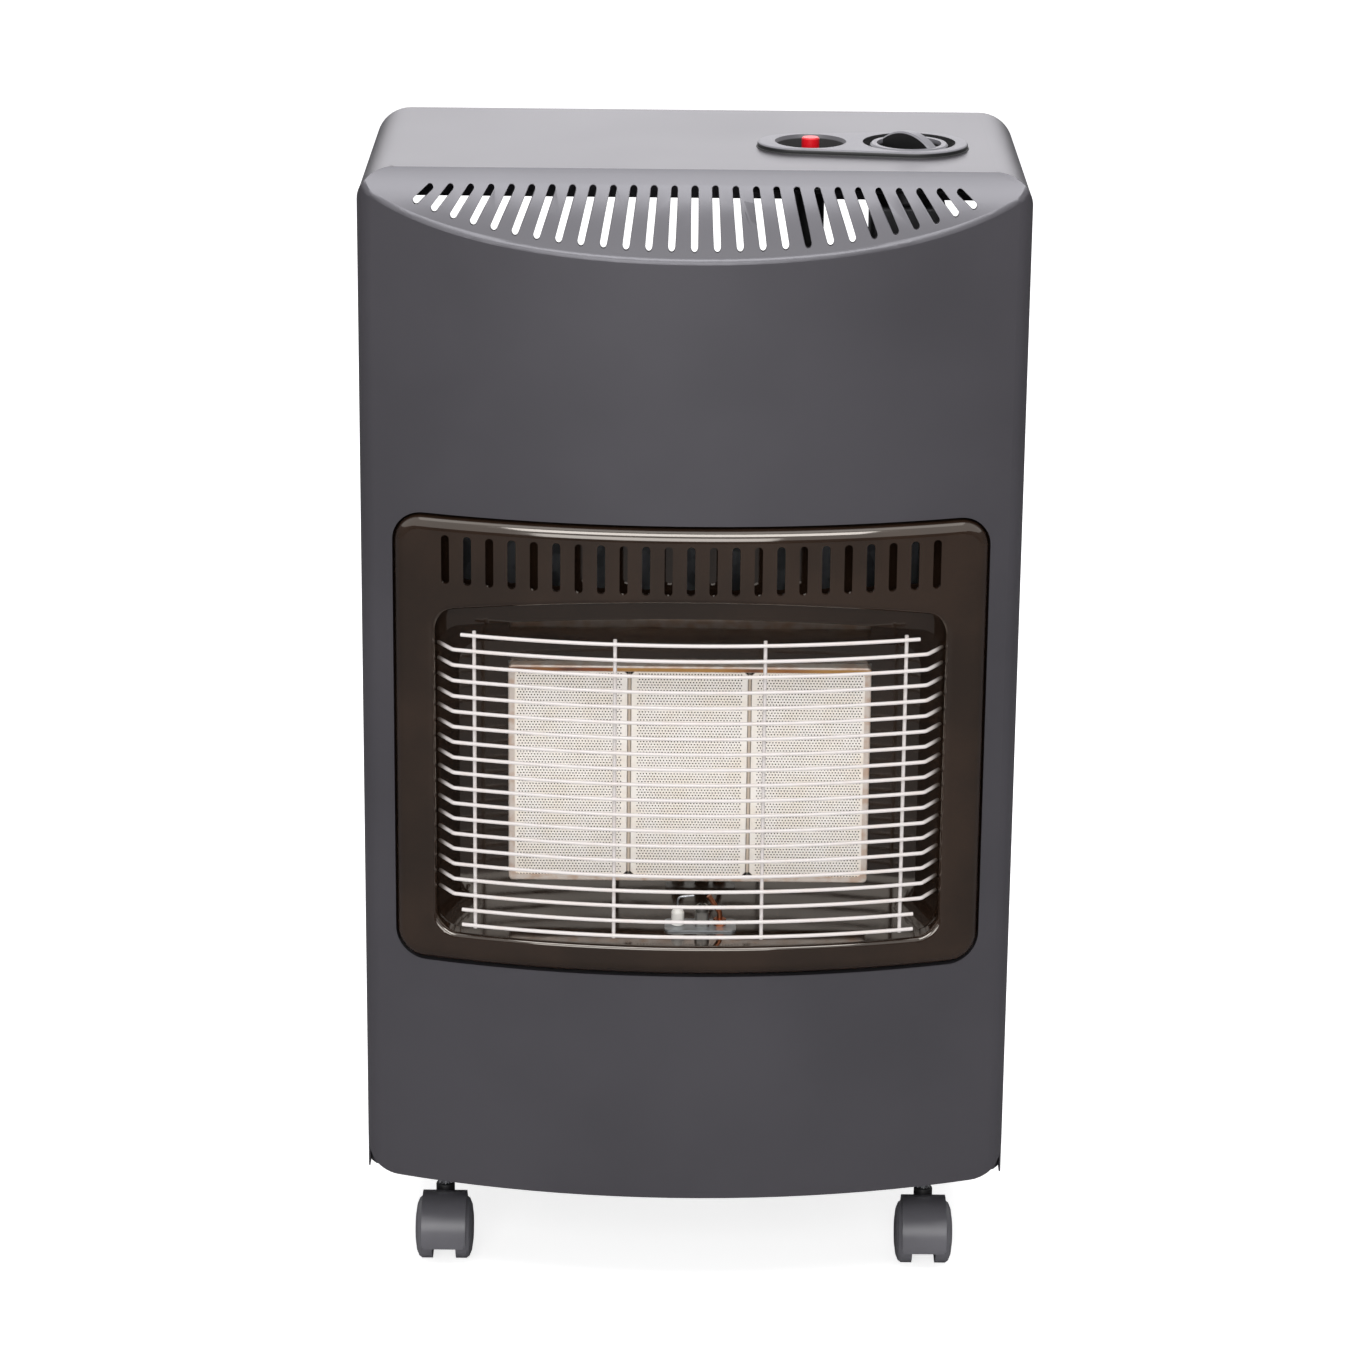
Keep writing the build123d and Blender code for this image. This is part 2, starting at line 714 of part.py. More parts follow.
with BuildPart() as mixing_tubes:
    for x in plaque_x:
        with BuildSketch(Plane(origin=(x, mixer_y, 0), x_dir=(1, 0, 0), z_dir=(0, -1, 0))) as bore:
            with BuildLine():
                add(mixer_profile(mixer_wall))
            make_face()
        with BuildSketch(Plane(origin=(x, mixer_y, 0), x_dir=(1, 0, 0), z_dir=(0, -1, 0))):
            with BuildLine():
                add(mixer_profile(0))
            make_face()
        revolve(axis=Axis((x, mixer_y, 0), (0, 0, 1)))
        with BuildSketch(Plane.XZ.offset(-mixer_y)):
            with Locations((x, mixer_top_z - mixer_radius)):
                Circle(mixer_radius - 0.5)
        extrude(amount=mixer_behind)
        with BuildSketch(Plane.XZ.offset(-mixer_y)):
            with Locations((x, mixer_top_z - mixer_radius)):
                Circle(mixer_radius - 2 * mixer_wall)
        extrude(amount=mixer_behind, mode=Mode.SUBTRACT)
        add(bore.sketch)
        revolve(axis=Axis((x, mixer_y, 0), (0, 0, 1)), mode=Mode.SUBTRACT)
save(mixing_tubes.part, "mixing_tubes")

with BuildPart() as injectors:
    for x in plaque_x:
        with BuildSketch(Plane(origin=(x, mixer_y, bar_top_z))):
            RegularPolygon(injector_hex / 2, 6, major_radius=False)
        extrude(amount=injector_length / 2)
        with BuildSketch(Plane(origin=(x, mixer_y, bar_top_z + injector_length / 2))):
            Circle(injector_radius)
        extrude(amount=injector_length / 2, taper=injector_taper)
        with BuildSketch(Plane(origin=(x, mixer_y, bar_top_z + injector_length))):
            Circle(injector_bore / 2)
        extrude(amount=-injector_length, mode=Mode.SUBTRACT)
save(injectors.part, "injectors")

with BuildPart() as gas_manifold:
    with BuildSketch(Plane(origin=(0, mixer_y, bar_top_z))):
        Rectangle(2 * plaque_pitch + 2 * bar_size, bar_size)
    extrude(amount=-bar_size)
    chamfer(gas_manifold.edges().filter_by(Axis.X), 1.0)
    for x in plaque_x:
        with BuildSketch(Plane(origin=(x, mixer_y, bar_top_z - bar_size))):
            RegularPolygon(bar_size / 2 - 1, 6, major_radius=False)
        extrude(amount=-bar_nut)
save(gas_manifold.part, "gas_manifold")

# ears that hang the manifold from the plenum's flange
with BuildPart() as manifold_hangers:
    for side in (-1, 1):
        x = side * (plaque_pitch + bar_size)
        hanger_top = burner_z - plenum_half_z - plenum_wall
        with BuildSketch(Plane.YZ.offset(x)):
            with BuildLine():
                Polyline(
                    (plenum_front + plenum_wall, hanger_top),
                    (plenum_front + plenum_wall, hanger_top - plenum_flange),
                    (mixer_y - bar_size / 2, bar_top_z - bar_size),
                    (mixer_y + bar_size / 2, bar_top_z - bar_size),
                    (mixer_y + bar_size / 2, bar_top_z),
                    (plenum_front + plenum_depth / 2, hanger_top),
                    close=True,
                )
            make_face()
        extrude(amount=side * bracket_sheet)
save(manifold_hangers.part, "manifold_hangers")

# ---------------------------------------------------------------- pilot set
pilot_y = seam_y + pilot_behind
pilot_z = throat_front_z[0] + fit_gap / 3 + pilot_plate
electrode_x = pilot_x + electrode_offset
port_x = pilot_x + port_offset
probe_x = pilot_x + probe_offset
lead_foot_z = pilot_z - pilot_plate - insulator_foot
with BuildPart() as pilot_bracket:
    with BuildSketch(Plane.XY.offset(pilot_z)):
        with Locations((pilot_x, pilot_y)):
            RectangleRounded(*pilot_plate_size, pilot_plate_corner)
        with Locations((electrode_x, pilot_y)):
            Circle(lead + fit_gap, mode=Mode.SUBTRACT)
        with Locations((port_x, pilot_y), (probe_x, pilot_y)):
            Circle(pilot_pipe_size / 2 + fit_gap, mode=Mode.SUBTRACT)
    extrude(amount=-pilot_plate)
save(pilot_bracket.part, "pilot_bracket")

with BuildPart() as electrode_insulator:
    with BuildSketch(Plane(origin=(electrode_x, pilot_y, 0), x_dir=(1, 0, 0), z_dir=(0, -1, 0))):
        with BuildLine():
            Polyline(
                (0, lead_foot_z),
                (lead, lead_foot_z),
                (lead, pilot_z + fit_gap),
                (lead + 1.0, pilot_z + fit_gap),
                (lead + 1.0, pilot_z + 0.7 * insulator_height),
                (lead - 0.6, pilot_z + insulator_height),
                (0, pilot_z + insulator_height),
                close=True,
            )
        make_face()
    revolve(axis=Axis((electrode_x, pilot_y, 0), (0, 0, 1)))
save(electrode_insulator.part, "electrode_insulator")

with BuildPart() as spark_electrode:
    tip = pilot_z + insulator_height
    with BuildLine(Plane(origin=(electrode_x, pilot_y, tip), x_dir=(1, 0, 0), z_dir=(0, -1, 0))) as path:
        hook_end = (spark_hook[0], spark_rise + spark_hook[1])
        FilletPolyline((0, 0), (0, spark_rise), hook_end, radius=spark_bend)
    with BuildSketch(Plane(origin=path.wire() @ 0, z_dir=path.wire() % 0)):
        Circle(spark_wire / 2)
    sweep(path=path.wire())
save(spark_electrode.part, "spark_electrode")

with BuildPart() as pilot_burner:
    with BuildSketch(Plane(origin=(port_x, pilot_y, pilot_z))):
        RectangleRounded(pilot_burner_size, pilot_burner_size, pilot_burner_corner)
    extrude(amount=0.7 * pilot_burner_height)
    with BuildSketch(Plane(origin=(port_x, pilot_y, pilot_z))):
        Circle(0.46 * pilot_burner_size)
    extrude(amount=pilot_burner_height)
    chamfer(pilot_burner.faces().sort_by(Axis.Z)[-1].edges(), 1.0)
    with BuildSketch(Plane(origin=(port_x, pilot_y, pilot_z + pilot_burner_height))):
        Circle(0.27 * pilot_burner_size)
    extrude(amount=-0.5 * pilot_burner_height, mode=Mode.SUBTRACT)
    # flame slot facing the probe and the burner
    with BuildSketch(Plane.XZ.offset(-pilot_y)):
        with Locations((port_x, pilot_z + pilot_burner_height)):
            Rectangle(flame_slot, 0.5 * pilot_burner_height)
    extrude(amount=-pilot_burner_size, mode=Mode.SUBTRACT)
save(pilot_burner.part, "pilot_burner")

with BuildPart() as thermocouple:
    with BuildLine(Plane.XZ.offset(-pilot_y)) as path:
        FilletPolyline(
            (probe_x, lead_foot_z),
            (probe_x, pilot_z + probe_rise),
            (probe_x - probe_lean[0], pilot_z + probe_rise + probe_lean[1]),
            radius=probe_bend,
        )
    with BuildSketch(Plane(origin=path.wire() @ 0, z_dir=path.wire() % 0)):
        Circle(probe_size / 2)
    sweep(path=path.wire())
    with BuildSketch(Plane(origin=(probe_x, pilot_y, pilot_z))):
        RegularPolygon(probe_nut[0] / 2, 6, major_radius=False)
    extrude(amount=probe_nut[1])
save(thermocouple.part, "thermocouple")

# ---------------------------------------------------------------- controls
valve_front_y = control_y - valve_deep / 2
valve_rear_y = control_y + valve_deep / 2
valve_right_x = knob_x + valve_width / 2
collar_top_z = bracket_z - bracket_sheet
neck_top = bracket_z + mounting_nut
magnet_length = 8.0
with BuildPart() as gas_valve:
    with BuildSketch(Plane(origin=(knob_x, control_y, valve_bottom))):
        RectangleRounded(valve_width, valve_deep, valve_corner)
    extrude(amount=valve_top - valve_bottom)
    fillet(gas_valve.faces().sort_by(Axis.Z)[-1].edges(), valve_round)
    with BuildSketch(Plane(origin=(knob_x, control_y, valve_top))):
        Circle(valve_collar)
    extrude(amount=collar_top_z - valve_top)
    with BuildSketch(Plane(origin=(knob_x, control_y, collar_top_z))):
        Circle(valve_neck)
    extrude(amount=neck_top - collar_top_z)
    # compression nuts of the three burner outlets below
    with BuildSketch(Plane.XY.offset(valve_bottom)):
        with Locations(*[(x, mixer_y) for x in outlet_x]):
            RegularPolygon(nut_flats / 2, 6, major_radius=False)
    extrude(amount=-nut_height)
    with BuildSketch(Plane.XY.offset(valve_bottom - nut_height)):
        with Locations(*[(x, mixer_y) for x in outlet_x]):
            Circle(pipe / 2 + running)
    extrude(amount=nut_height - nut_seat, mode=Mode.SUBTRACT)
    # pilot outlet on the front face, magnet unit on the right face
    with BuildSketch(Plane.XZ.offset(-valve_front_y)):
        with Locations((knob_x, valve_bottom + pilot_outlet_z)):
            RegularPolygon(pilot_nut / 2, 6, major_radius=False)
    extrude(amount=nut_height / 2)
    with BuildSketch(Plane.YZ.offset(valve_right_x)):
        with Locations((control_y, valve_bottom + probe_outlet_z)):
            Circle(magnet_size / 2)
    extrude(amount=magnet_length)
    # shaft bore from the top, plunger bore under it
    shaft_bore_z = spindle_foot - knob_travel - plunger_stop
    with BuildSketch(Plane(origin=(knob_x, control_y, neck_top))):
        Circle(spindle_radius + running)
    extrude(amount=shaft_bore_z - neck_top, mode=Mode.SUBTRACT)
    with BuildSketch(Plane(origin=(knob_x, control_y, shaft_bore_z))):
        Circle(plunger_radius + running)
    extrude(amount=-plunger_length, mode=Mode.SUBTRACT)
save(gas_valve.part, "gas_valve")

with BuildPart() as valve_plunger:
    with BuildSketch(Plane(origin=(knob_x, control_y, spindle_foot))):
        Circle(plunger_radius)
    extrude(amount=-plunger_length)
    chamfer(valve_plunger.edges().sort_by(Axis.Z)[0], 0.5)
save(valve_plunger.part, "valve_plunger")

spindle_top = knob_ring_top - knob_roof
with BuildPart() as valve_spindle:
    with BuildSketch(Plane(origin=(knob_x, control_y, spindle_foot + fit_gap / 3))):
        Circle(spindle_radius)
    extrude(amount=spindle_top - spindle_foot)
    # flat that drives the knob
    with BuildSketch(Plane(origin=(knob_x, control_y, knob_base))):
        with Locations((0, spindle_radius)):
            Rectangle(2 * spindle_radius, 2 * spindle_flat)
    extrude(amount=knob_ring_top - knob_base, mode=Mode.SUBTRACT)
save(valve_spindle.part, "valve_spindle")

with BuildPart() as valve_bracket:
    bracket_left = bezel_tip_x - bracket_sheet
    bracket_right = bezel_end_x + bracket_sheet
    bracket_mid = (bracket_left + bracket_right) / 2
    with BuildSketch(Plane.XZ.offset(-control_y)):
        with BuildLine():
            Polyline(
                (bracket_left - bracket_tab, cabinet_top - sheet),
                (bracket_left, cabinet_top - sheet),
                (bracket_left, bracket_z),
                (bracket_right, bracket_z),
                (bracket_right, cabinet_top - sheet),
                (bracket_right + bracket_tab, cabinet_top - sheet),
                (bracket_right + bracket_tab, cabinet_top - sheet - bracket_sheet),
                (bracket_right + bracket_sheet, cabinet_top - sheet - bracket_sheet),
                (bracket_right + bracket_sheet, bracket_z - bracket_sheet),
                (bracket_left - bracket_sheet, bracket_z - bracket_sheet),
                (bracket_left - bracket_sheet, cabinet_top - sheet - bracket_sheet),
                (bracket_left - bracket_tab, cabinet_top - sheet - bracket_sheet),
                close=True,
            )
        make_face()
    extrude(amount=bracket_depth / 2, both=True)
    with BuildSketch(Plane.XY.offset(bracket_z)):
        with Locations((knob_x, control_y)):
            Circle(valve_neck + running)
        with Locations((button_x, control_y)):
            Circle(igniter_radius + running)
    extrude(amount=bracket_sheet, both=True, mode=Mode.SUBTRACT)
save(valve_bracket.part, "valve_bracket")

igniter_top = button_floor - bezel_wall - fit_gap
with BuildPart() as igniter_body:
    with BuildSketch(Plane(origin=(button_x, control_y, igniter_bottom))):
        Circle(igniter_radius)
    extrude(amount=igniter_top - igniter_bottom)
    with BuildSketch(Plane(origin=(button_x, control_y, bracket_z - bracket_sheet))):
        RegularPolygon(igniter_radius + mounting_nut, 6, major_radius=False)
    extrude(amount=-2 * bracket_sheet)
    with BuildSketch(Plane(origin=(button_x, control_y, igniter_bottom))):
        Circle(lead)
    extrude(amount=-igniter_foot)
    with BuildSketch(Plane(origin=(button_x, control_y, igniter_top))):
        Circle(button_radius + button_play)
    extrude(amount=button_bottom - 8.0 - igniter_top, mode=Mode.SUBTRACT)
save(igniter_body.part, "igniter_body")

with BuildPart() as igniter_button:
    with BuildSketch(Plane(origin=(button_x, control_y, button_bottom))):
        Circle(button_radius)
    extrude(amount=button_top - button_bottom)
    chamfer(igniter_button.faces().sort_by(Axis.Z)[-1].edges(), button_round)
save(igniter_button.part, "igniter_button")

with BuildPart() as mounting_nuts:
    for x, radius in ((knob_x, valve_neck), (button_x, igniter_radius)):
        with BuildSketch(Plane(origin=(x, control_y, bracket_z))):
            RegularPolygon(radius + mounting_nut, 6, major_radius=False)
            Circle(radius + running, mode=Mode.SUBTRACT)
        extrude(amount=mounting_nut)
save(mounting_nuts.part, "mounting_nuts")

button_skirt = bezel_left_radius - 2 * bezel_wall - fit_gap
with BuildPart() as control_bezel:
    with BuildSketch(Plane.XY.offset(cabinet_top)):
        add(egg(0))
    extrude(amount=bezel_height)
    fillet(control_bezel.faces().sort_by(Axis.Z)[-1].edges(), bezel_round)
    # skirt that drops through the top panel's cut-out
    with BuildSketch(Plane.XY.offset(cabinet_top - 4 * sheet)):
        add(egg(2 * bezel_wall + fit_gap))
    extrude(amount=4 * sheet)
    for x, radius, floor in ((button_x, button_skirt, button_floor), (knob_x, knob_well, knob_floor)):
        with BuildSketch(Plane(origin=(x, control_y, floor - bezel_wall))):
            Circle(radius)
        extrude(amount=cabinet_top - floor)
    for x, radius, floor, slope in (
        (button_x, button_well, button_floor, button_well_slope),
        (knob_x, knob_well, knob_floor, knob_well_slope),
    ):
        with BuildSketch(Plane(origin=(x, control_y, cabinet_top + bezel_height))):
            Circle(radius)
        extrude(amount=floor - cabinet_top - bezel_height, taper=slope, mode=Mode.SUBTRACT)
    for x, radius in ((button_x, button_radius + button_play), (knob_x, spindle_radius + fit_gap)):
        with BuildSketch(Plane(origin=(x, control_y, cabinet_top))):
            Circle(radius)
        extrude(amount=-2 * (cabinet_top - knob_floor), mode=Mode.SUBTRACT)
save(control_bezel.part, "control_bezel")

bar_turn = math.radians(knob_bar_angle)
bar_plane = Plane(
    origin=(knob_x, control_y, 0),
    x_dir=(math.cos(bar_turn), math.sin(bar_turn), 0),
    z_dir=(math.sin(bar_turn), -math.cos(bar_turn), 0),
)
with BuildPart() as finger_bar:
    with BuildSketch(bar_plane):
        with BuildLine():
            half = knob_radius - knob_rim / 2
            low = knob_ring_top - 1.0
            Polyline((-half, low), (-half, knob_base), (half, knob_base), (half, low))
            ThreePointArc((half, low), (0, knob_bar_top), (-half, low))
        make_face()
    extrude(amount=knob_bar / 2, both=True)
    chamfer(finger_bar.edges().filter_by(GeomType.CIRCLE), knob_round)

with BuildPart() as control_knob:
    with BuildSketch(Plane(origin=(knob_x, control_y, knob_base))):
        Circle(knob_radius)
    extrude(amount=knob_ring_top - knob_base)
    chamfer(control_knob.faces().sort_by(Axis.Z)[-1].edges(), knob_round)
    with BuildSketch(Plane(origin=(knob_x, control_y, knob_ring_top))):
        Circle(knob_radius - knob_rim)
    extrude(amount=knob_base + bezel_wall - knob_ring_top, taper=8, mode=Mode.SUBTRACT)
    add(finger_bar.part)
    with BuildSketch(Plane(origin=(knob_x, control_y, knob_base))):
        Circle(spindle_radius + running)
    extrude(amount=spindle_top + 2 * running - knob_base, mode=Mode.SUBTRACT)
save(control_knob.part, "control_knob")

nozzle_z = valve_bottom + inlet_z
with BuildPart() as hose_nozzle:
    with BuildSketch(Plane.XZ.offset(-valve_rear_y)):
        with Locations((knob_x, nozzle_z)):
            RegularPolygon(nozzle_hex, 6, major_radius=False)
    extrude(amount=-nozzle_hex)
    with BuildSketch(Plane.XZ.offset(-valve_rear_y)):
        with Locations((knob_x, nozzle_z)):
            Circle(nozzle_radius)
    extrude(amount=-nozzle_hex - nozzle_plain)
    # tapered end that starts the hose
    with BuildSketch(Plane.XZ.offset(-valve_rear_y - nozzle_hex - nozzle_plain)):
        with Locations((knob_x, nozzle_z)):
            Circle(nozzle_radius)
    extrude(amount=-nozzle_lead, taper=14)
    with BuildSketch(Plane.XZ.offset(-valve_rear_y)):
        with Locations((knob_x, nozzle_z)):
            Circle(nozzle_radius / 2)
    extrude(amount=-nozzle_hex - nozzle_plain - nozzle_lead, mode=Mode.SUBTRACT)
save(hose_nozzle.part, "hose_nozzle")


# ---------------------------------------------------------------- pipes and leads
def tube(points, size, bend):
    """Round tube along straight runs joined by bends."""
    with BuildPart() as run:
        with BuildLine() as path:
            FilletPolyline(*points, radius=bend)
        with BuildSketch(Plane(origin=path.wire() @ 0, z_dir=path.wire() % 0)):
            RegularPolygon(size / 2, tube_sides)
        sweep(path=path.wire())
    return run.part


bar_nut_z = bar_top_z - bar_size - bar_nut
pipe_top_z = valve_bottom - nut_seat - fit_gap
for index, name in enumerate(reversed(plaque_names)):
    start_x = plaque_x[-1 - index]
    low_z = bar_nut_z - pipe_drop - pipe_step * index
    supply = tube(
        [
            (start_x, mixer_y, bar_nut_z),
            (start_x, mixer_y, low_z),
            (outlet_x[index], mixer_y, low_z),
            (outlet_x[index], mixer_y, pipe_top_z),
        ],
        pipe,
        pipe_bend,
    )
    save(supply, f"supply_pipe_{name}")

# each lead leaves the pilot plate, drops below the box and runs up beside the burner
pilot_low_z = throat_front_z[0] - lead_drop
pilot_run_y = reflector_rear + lead_drop
pilot_high_z = valve_bottom + pilot_outlet_z
pilot_pipe = tube(
    [
        (port_x, pilot_y, pilot_z),
        (port_x, pilot_y, pilot_low_z),
        (port_x, pilot_run_y, pilot_low_z),
        (valve_right_x, pilot_run_y, pilot_low_z),
        (valve_right_x, pilot_run_y, pilot_high_z),
        (knob_x, pilot_run_y, pilot_high_z),
        (knob_x, valve_front_y - nut_height / 2, pilot_high_z),
    ],
    pilot_pipe_size,
    pilot_bend,
)
save(pilot_pipe, "pilot_pipe")

probe_low_z = pilot_low_z - lead_step
probe_rise_x = valve_right_x + magnet_length + 2 * lead_drop
probe_high_z = valve_bottom + probe_outlet_z
thermocouple_lead = tube(
    [
        (probe_x, pilot_y, lead_foot_z),
        (probe_x, pilot_y, probe_low_z),
        (probe_x, pilot_run_y, probe_low_z),
        (probe_rise_x, pilot_run_y, probe_low_z),
        (probe_rise_x, pilot_run_y, probe_high_z),
        (probe_rise_x, control_y, probe_high_z),
        (valve_right_x + magnet_length, control_y, probe_high_z),
    ],
    probe_lead_size,
    probe_lead_bend,
)
save(thermocouple_lead, "thermocouple_lead")

spark_low_z = probe_low_z - lead_step
spark_rise_x = probe_rise_x + lead_step
spark_high_z = igniter_bottom - igniter_foot - 2 * lead_drop
spark_high_y = pilot_run_y + 3 * lead_step
ignition_lead = tube(
    [
        (electrode_x, pilot_y, lead_foot_z),
        (electrode_x, pilot_y, spark_low_z),
        (electrode_x, pilot_run_y, spark_low_z),
        (spark_rise_x, pilot_run_y, spark_low_z),
        (spark_rise_x, pilot_run_y, spark_high_z),
        (spark_rise_x, spark_high_y, spark_high_z),
        (button_x, spark_high_y, spark_high_z),
        (button_x, control_y, spark_high_z),
        (button_x, control_y, igniter_bottom - igniter_foot),
    ],
    lead,
    lead_bend,
)
save(ignition_lead, "ignition_lead")

# ---------------------------------------------------------------- heat shield
shield_y = seam_y + shield_behind
shield_half = half_width - sheet - fit_gap
with BuildPart() as heat_shield:
    with BuildSketch(Plane.XY.offset(shield_bottom)):
        with Locations((0, shield_y + (shield_sheet - shield_flange) / 2)):
            Rectangle(2 * shield_half, shield_flange + shield_sheet)
        with Locations((0, shield_y - shield_flange / 2)):
            Rectangle(2 * (shield_half - shield_sheet), shield_flange, mode=Mode.SUBTRACT)
    extrude(amount=shield_top - shield_bottom)
    with BuildSketch(Plane.XZ.offset(-shield_y - shield_sheet)):
        with Locations((0, shield_bottom + 1.5 * vent_length), (0, shield_top - 1.5 * vent_length)):
            with GridLocations(vent_pitch, 0, vent_count, 1):
                SlotOverall(vent_length, vent_width, rotation=90)
    extrude(amount=2 * shield_sheet, mode=Mode.SUBTRACT)
save(heat_shield.part, "heat_shield")

# ---------------------------------------------------------------- bottle tray
tray_half = half_width - sheet - fit_gap
tray_front_y = seam_y + fit_gap
tray_length = tray_rear_y - tray_front_y
bottle_y = (shield_y + shield_sheet + tray_rear_y - tray_sheet) / 2
castor_places = {
    "front_left": (-castor_x, seam_y + castor_front_behind),
    "front_right": (castor_x, seam_y + castor_front_behind),
    "rear_left": (-castor_x, tray_rear_y - castor_rear_inset),
    "rear_right": (castor_x, tray_rear_y - castor_rear_inset),
}
sleeve_radius = socket_radius - socket_wall


def tray_block(inset, high):
    """Solid under the tray's skin, moved in by inset, with rounded lower edges."""
    low = cabinet_bottom + inset
    with BuildPart() as block:
        with BuildSketch(Plane.XY.offset(low)) as floor:
            with Locations((0, tray_front_y + tray_length / 2)):
                Rectangle(2 * (tray_half - inset), tray_length - 2 * inset)
            fillet(floor.vertices().sort_by(Axis.Y)[:2], tray_front_radius - inset)
            fillet(floor.vertices().sort_by(Axis.Y)[-2:], tray_rear_radius - inset)
        extrude(amount=high - low)
        chamfer(block.faces().sort_by(Axis.Z)[0].edges(), tray_foot - inset / 2)
    return block.part


tray_skin = tray_block(0, cabinet_bottom + tray_wall)
tray_core = tray_block(tray_sheet, cabinet_bottom + tray_wall + tray_sheet)
with BuildPart() as base_tray:
    add(tray_skin)
    add(tray_core, mode=Mode.SUBTRACT)
    # raised bead that centres the bottle
    with BuildSketch(Plane.XZ.offset(-bottle_y)):
        with Locations((tray_ring, cabinet_bottom + 1.5 * tray_sheet)):
            Trapezoid(bead_width, bead_height, 50)
    revolve(axis=Axis((0, bottle_y, 0), (0, 0, 1)))
    # air and drain holes, castor holes
    with BuildSketch(Plane.XY.offset(cabinet_bottom)):
        with Locations((0, bottle_y)):
            Circle(tray_hole)
            with PolarLocations(tray_hole_ring, tray_hole_count):
                Circle(tray_hole / 2)
        with Locations(*castor_places.values()):
            Circle(sleeve_radius + running)
    extrude(amount=2 * tray_sheet, mode=Mode.SUBTRACT)
save(base_tray.part, "base_tray")

collar_top = hood_top + collar_height
with BuildPart() as castor_sockets:
    for x, y in castor_places.values():
        with BuildSketch(Plane(origin=(x, y, 0), x_dir=(1, 0, 0), z_dir=(0, -1, 0))):
            with BuildLine():
                Polyline(
                    (stem_radius + running, collar_top + fit_gap),
                    (socket_radius, collar_top + fit_gap),
                    (socket_radius + socket_plate, cabinet_bottom - socket_plate),
                    (socket_flange, cabinet_bottom - socket_plate),
                    (socket_flange, cabinet_bottom),
                    (sleeve_radius, cabinet_bottom),
                    (sleeve_radius, socket_top),
                    (stem_radius + running, socket_top),
                    close=True,
                )
            make_face()
        revolve(axis=Axis((x, y, 0), (0, 0, 1)))
save(castor_sockets.part, "castor_sockets")

# ---------------------------------------------------------------- bottle hoop
pivot_y = shell_rear_y + hoop_pivot_behind
hoop_end_y = tray_rear_y - hoop_rear_gap - hoop_rod / 2
ear_x = half_width - rear_flange - ear_sheet
pin_end_x = ear_x + 2 * ear_sheet
with BuildPart() as bottle_hoop:
    with BuildLine(Plane.XY.offset(hoop_z)) as path:
        FilletPolyline(
            (-hoop_half_width, pivot_y),
            (-hoop_half_width, hoop_end_y),
            (hoop_half_width, hoop_end_y),
            (hoop_half_width, pivot_y),
            radius=hoop_corner,
        )
    with BuildSketch(Plane(origin=path.wire() @ 0, z_dir=path.wire() % 0)):
        Circle(hoop_rod / 2)
    sweep(path=path.wire())
    # rounded corners and the pins that turn in the ears
    with Locations((-hoop_half_width, pivot_y, hoop_z), (hoop_half_width, pivot_y, hoop_z)):
        Sphere(hoop_rod / 2)
    for side in (-1, 1):
        with BuildSketch(Plane.YZ.offset(side * hoop_half_width)):
            with Locations((pivot_y, hoop_z)):
                Circle(hoop_rod / 2)
        extrude(amount=side * (pin_end_x - hoop_half_width))
save(bottle_hoop.part, "bottle_hoop")

stop_top = hoop_z - hoop_rod / 2 - fit_gap
ear_middle_x = half_width - sheet - rear_flange / 2
with BuildPart() as hoop_ears:
    for side in (-1, 1):
        with BuildSketch(Plane.YZ.offset(side * ear_x)):
            with Locations((shell_rear_y + ear_reach / 2, hoop_z)):
                RectangleRounded(ear_reach, ear_height, ear_corner)
            with Locations((pivot_y, hoop_z)):
                Circle(hoop_rod / 2 + fit_gap, mode=Mode.SUBTRACT)
        extrude(amount=side * ear_sheet)
        with BuildSketch(Plane.XZ.offset(-shell_rear_y)):
            with Locations((side * ear_middle_x, hoop_z)):
                RectangleRounded(rear_flange, ear_flange, ear_flange_corner)
        extrude(amount=-ear_sheet)
        # stop that the arm rests on
        with BuildSketch(Plane.XY.offset(stop_top)):
            with Locations((side * (ear_x + ear_sheet - rear_flange / 2), pivot_y + stop_reach)):
                Rectangle(rear_flange, 2 * ear_sheet)
        extrude(amount=-ear_sheet)
save(hoop_ears.part, "hoop_ears")

with BuildPart() as ear_screws:
    with BuildSketch(Plane.XZ.offset(-shell_rear_y - ear_sheet)):
        with Locations((0, hoop_z)):
            with GridLocations(2 * ear_middle_x, ear_screw_pitch, 2, 2):
                Circle(screw_radius)
    extrude(amount=-screw_head)
    chamfer(ear_screws.faces().group_by(Axis.Y)[-1].edges(), screw_head / 3)
save(ear_screws.part, "ear_screws")

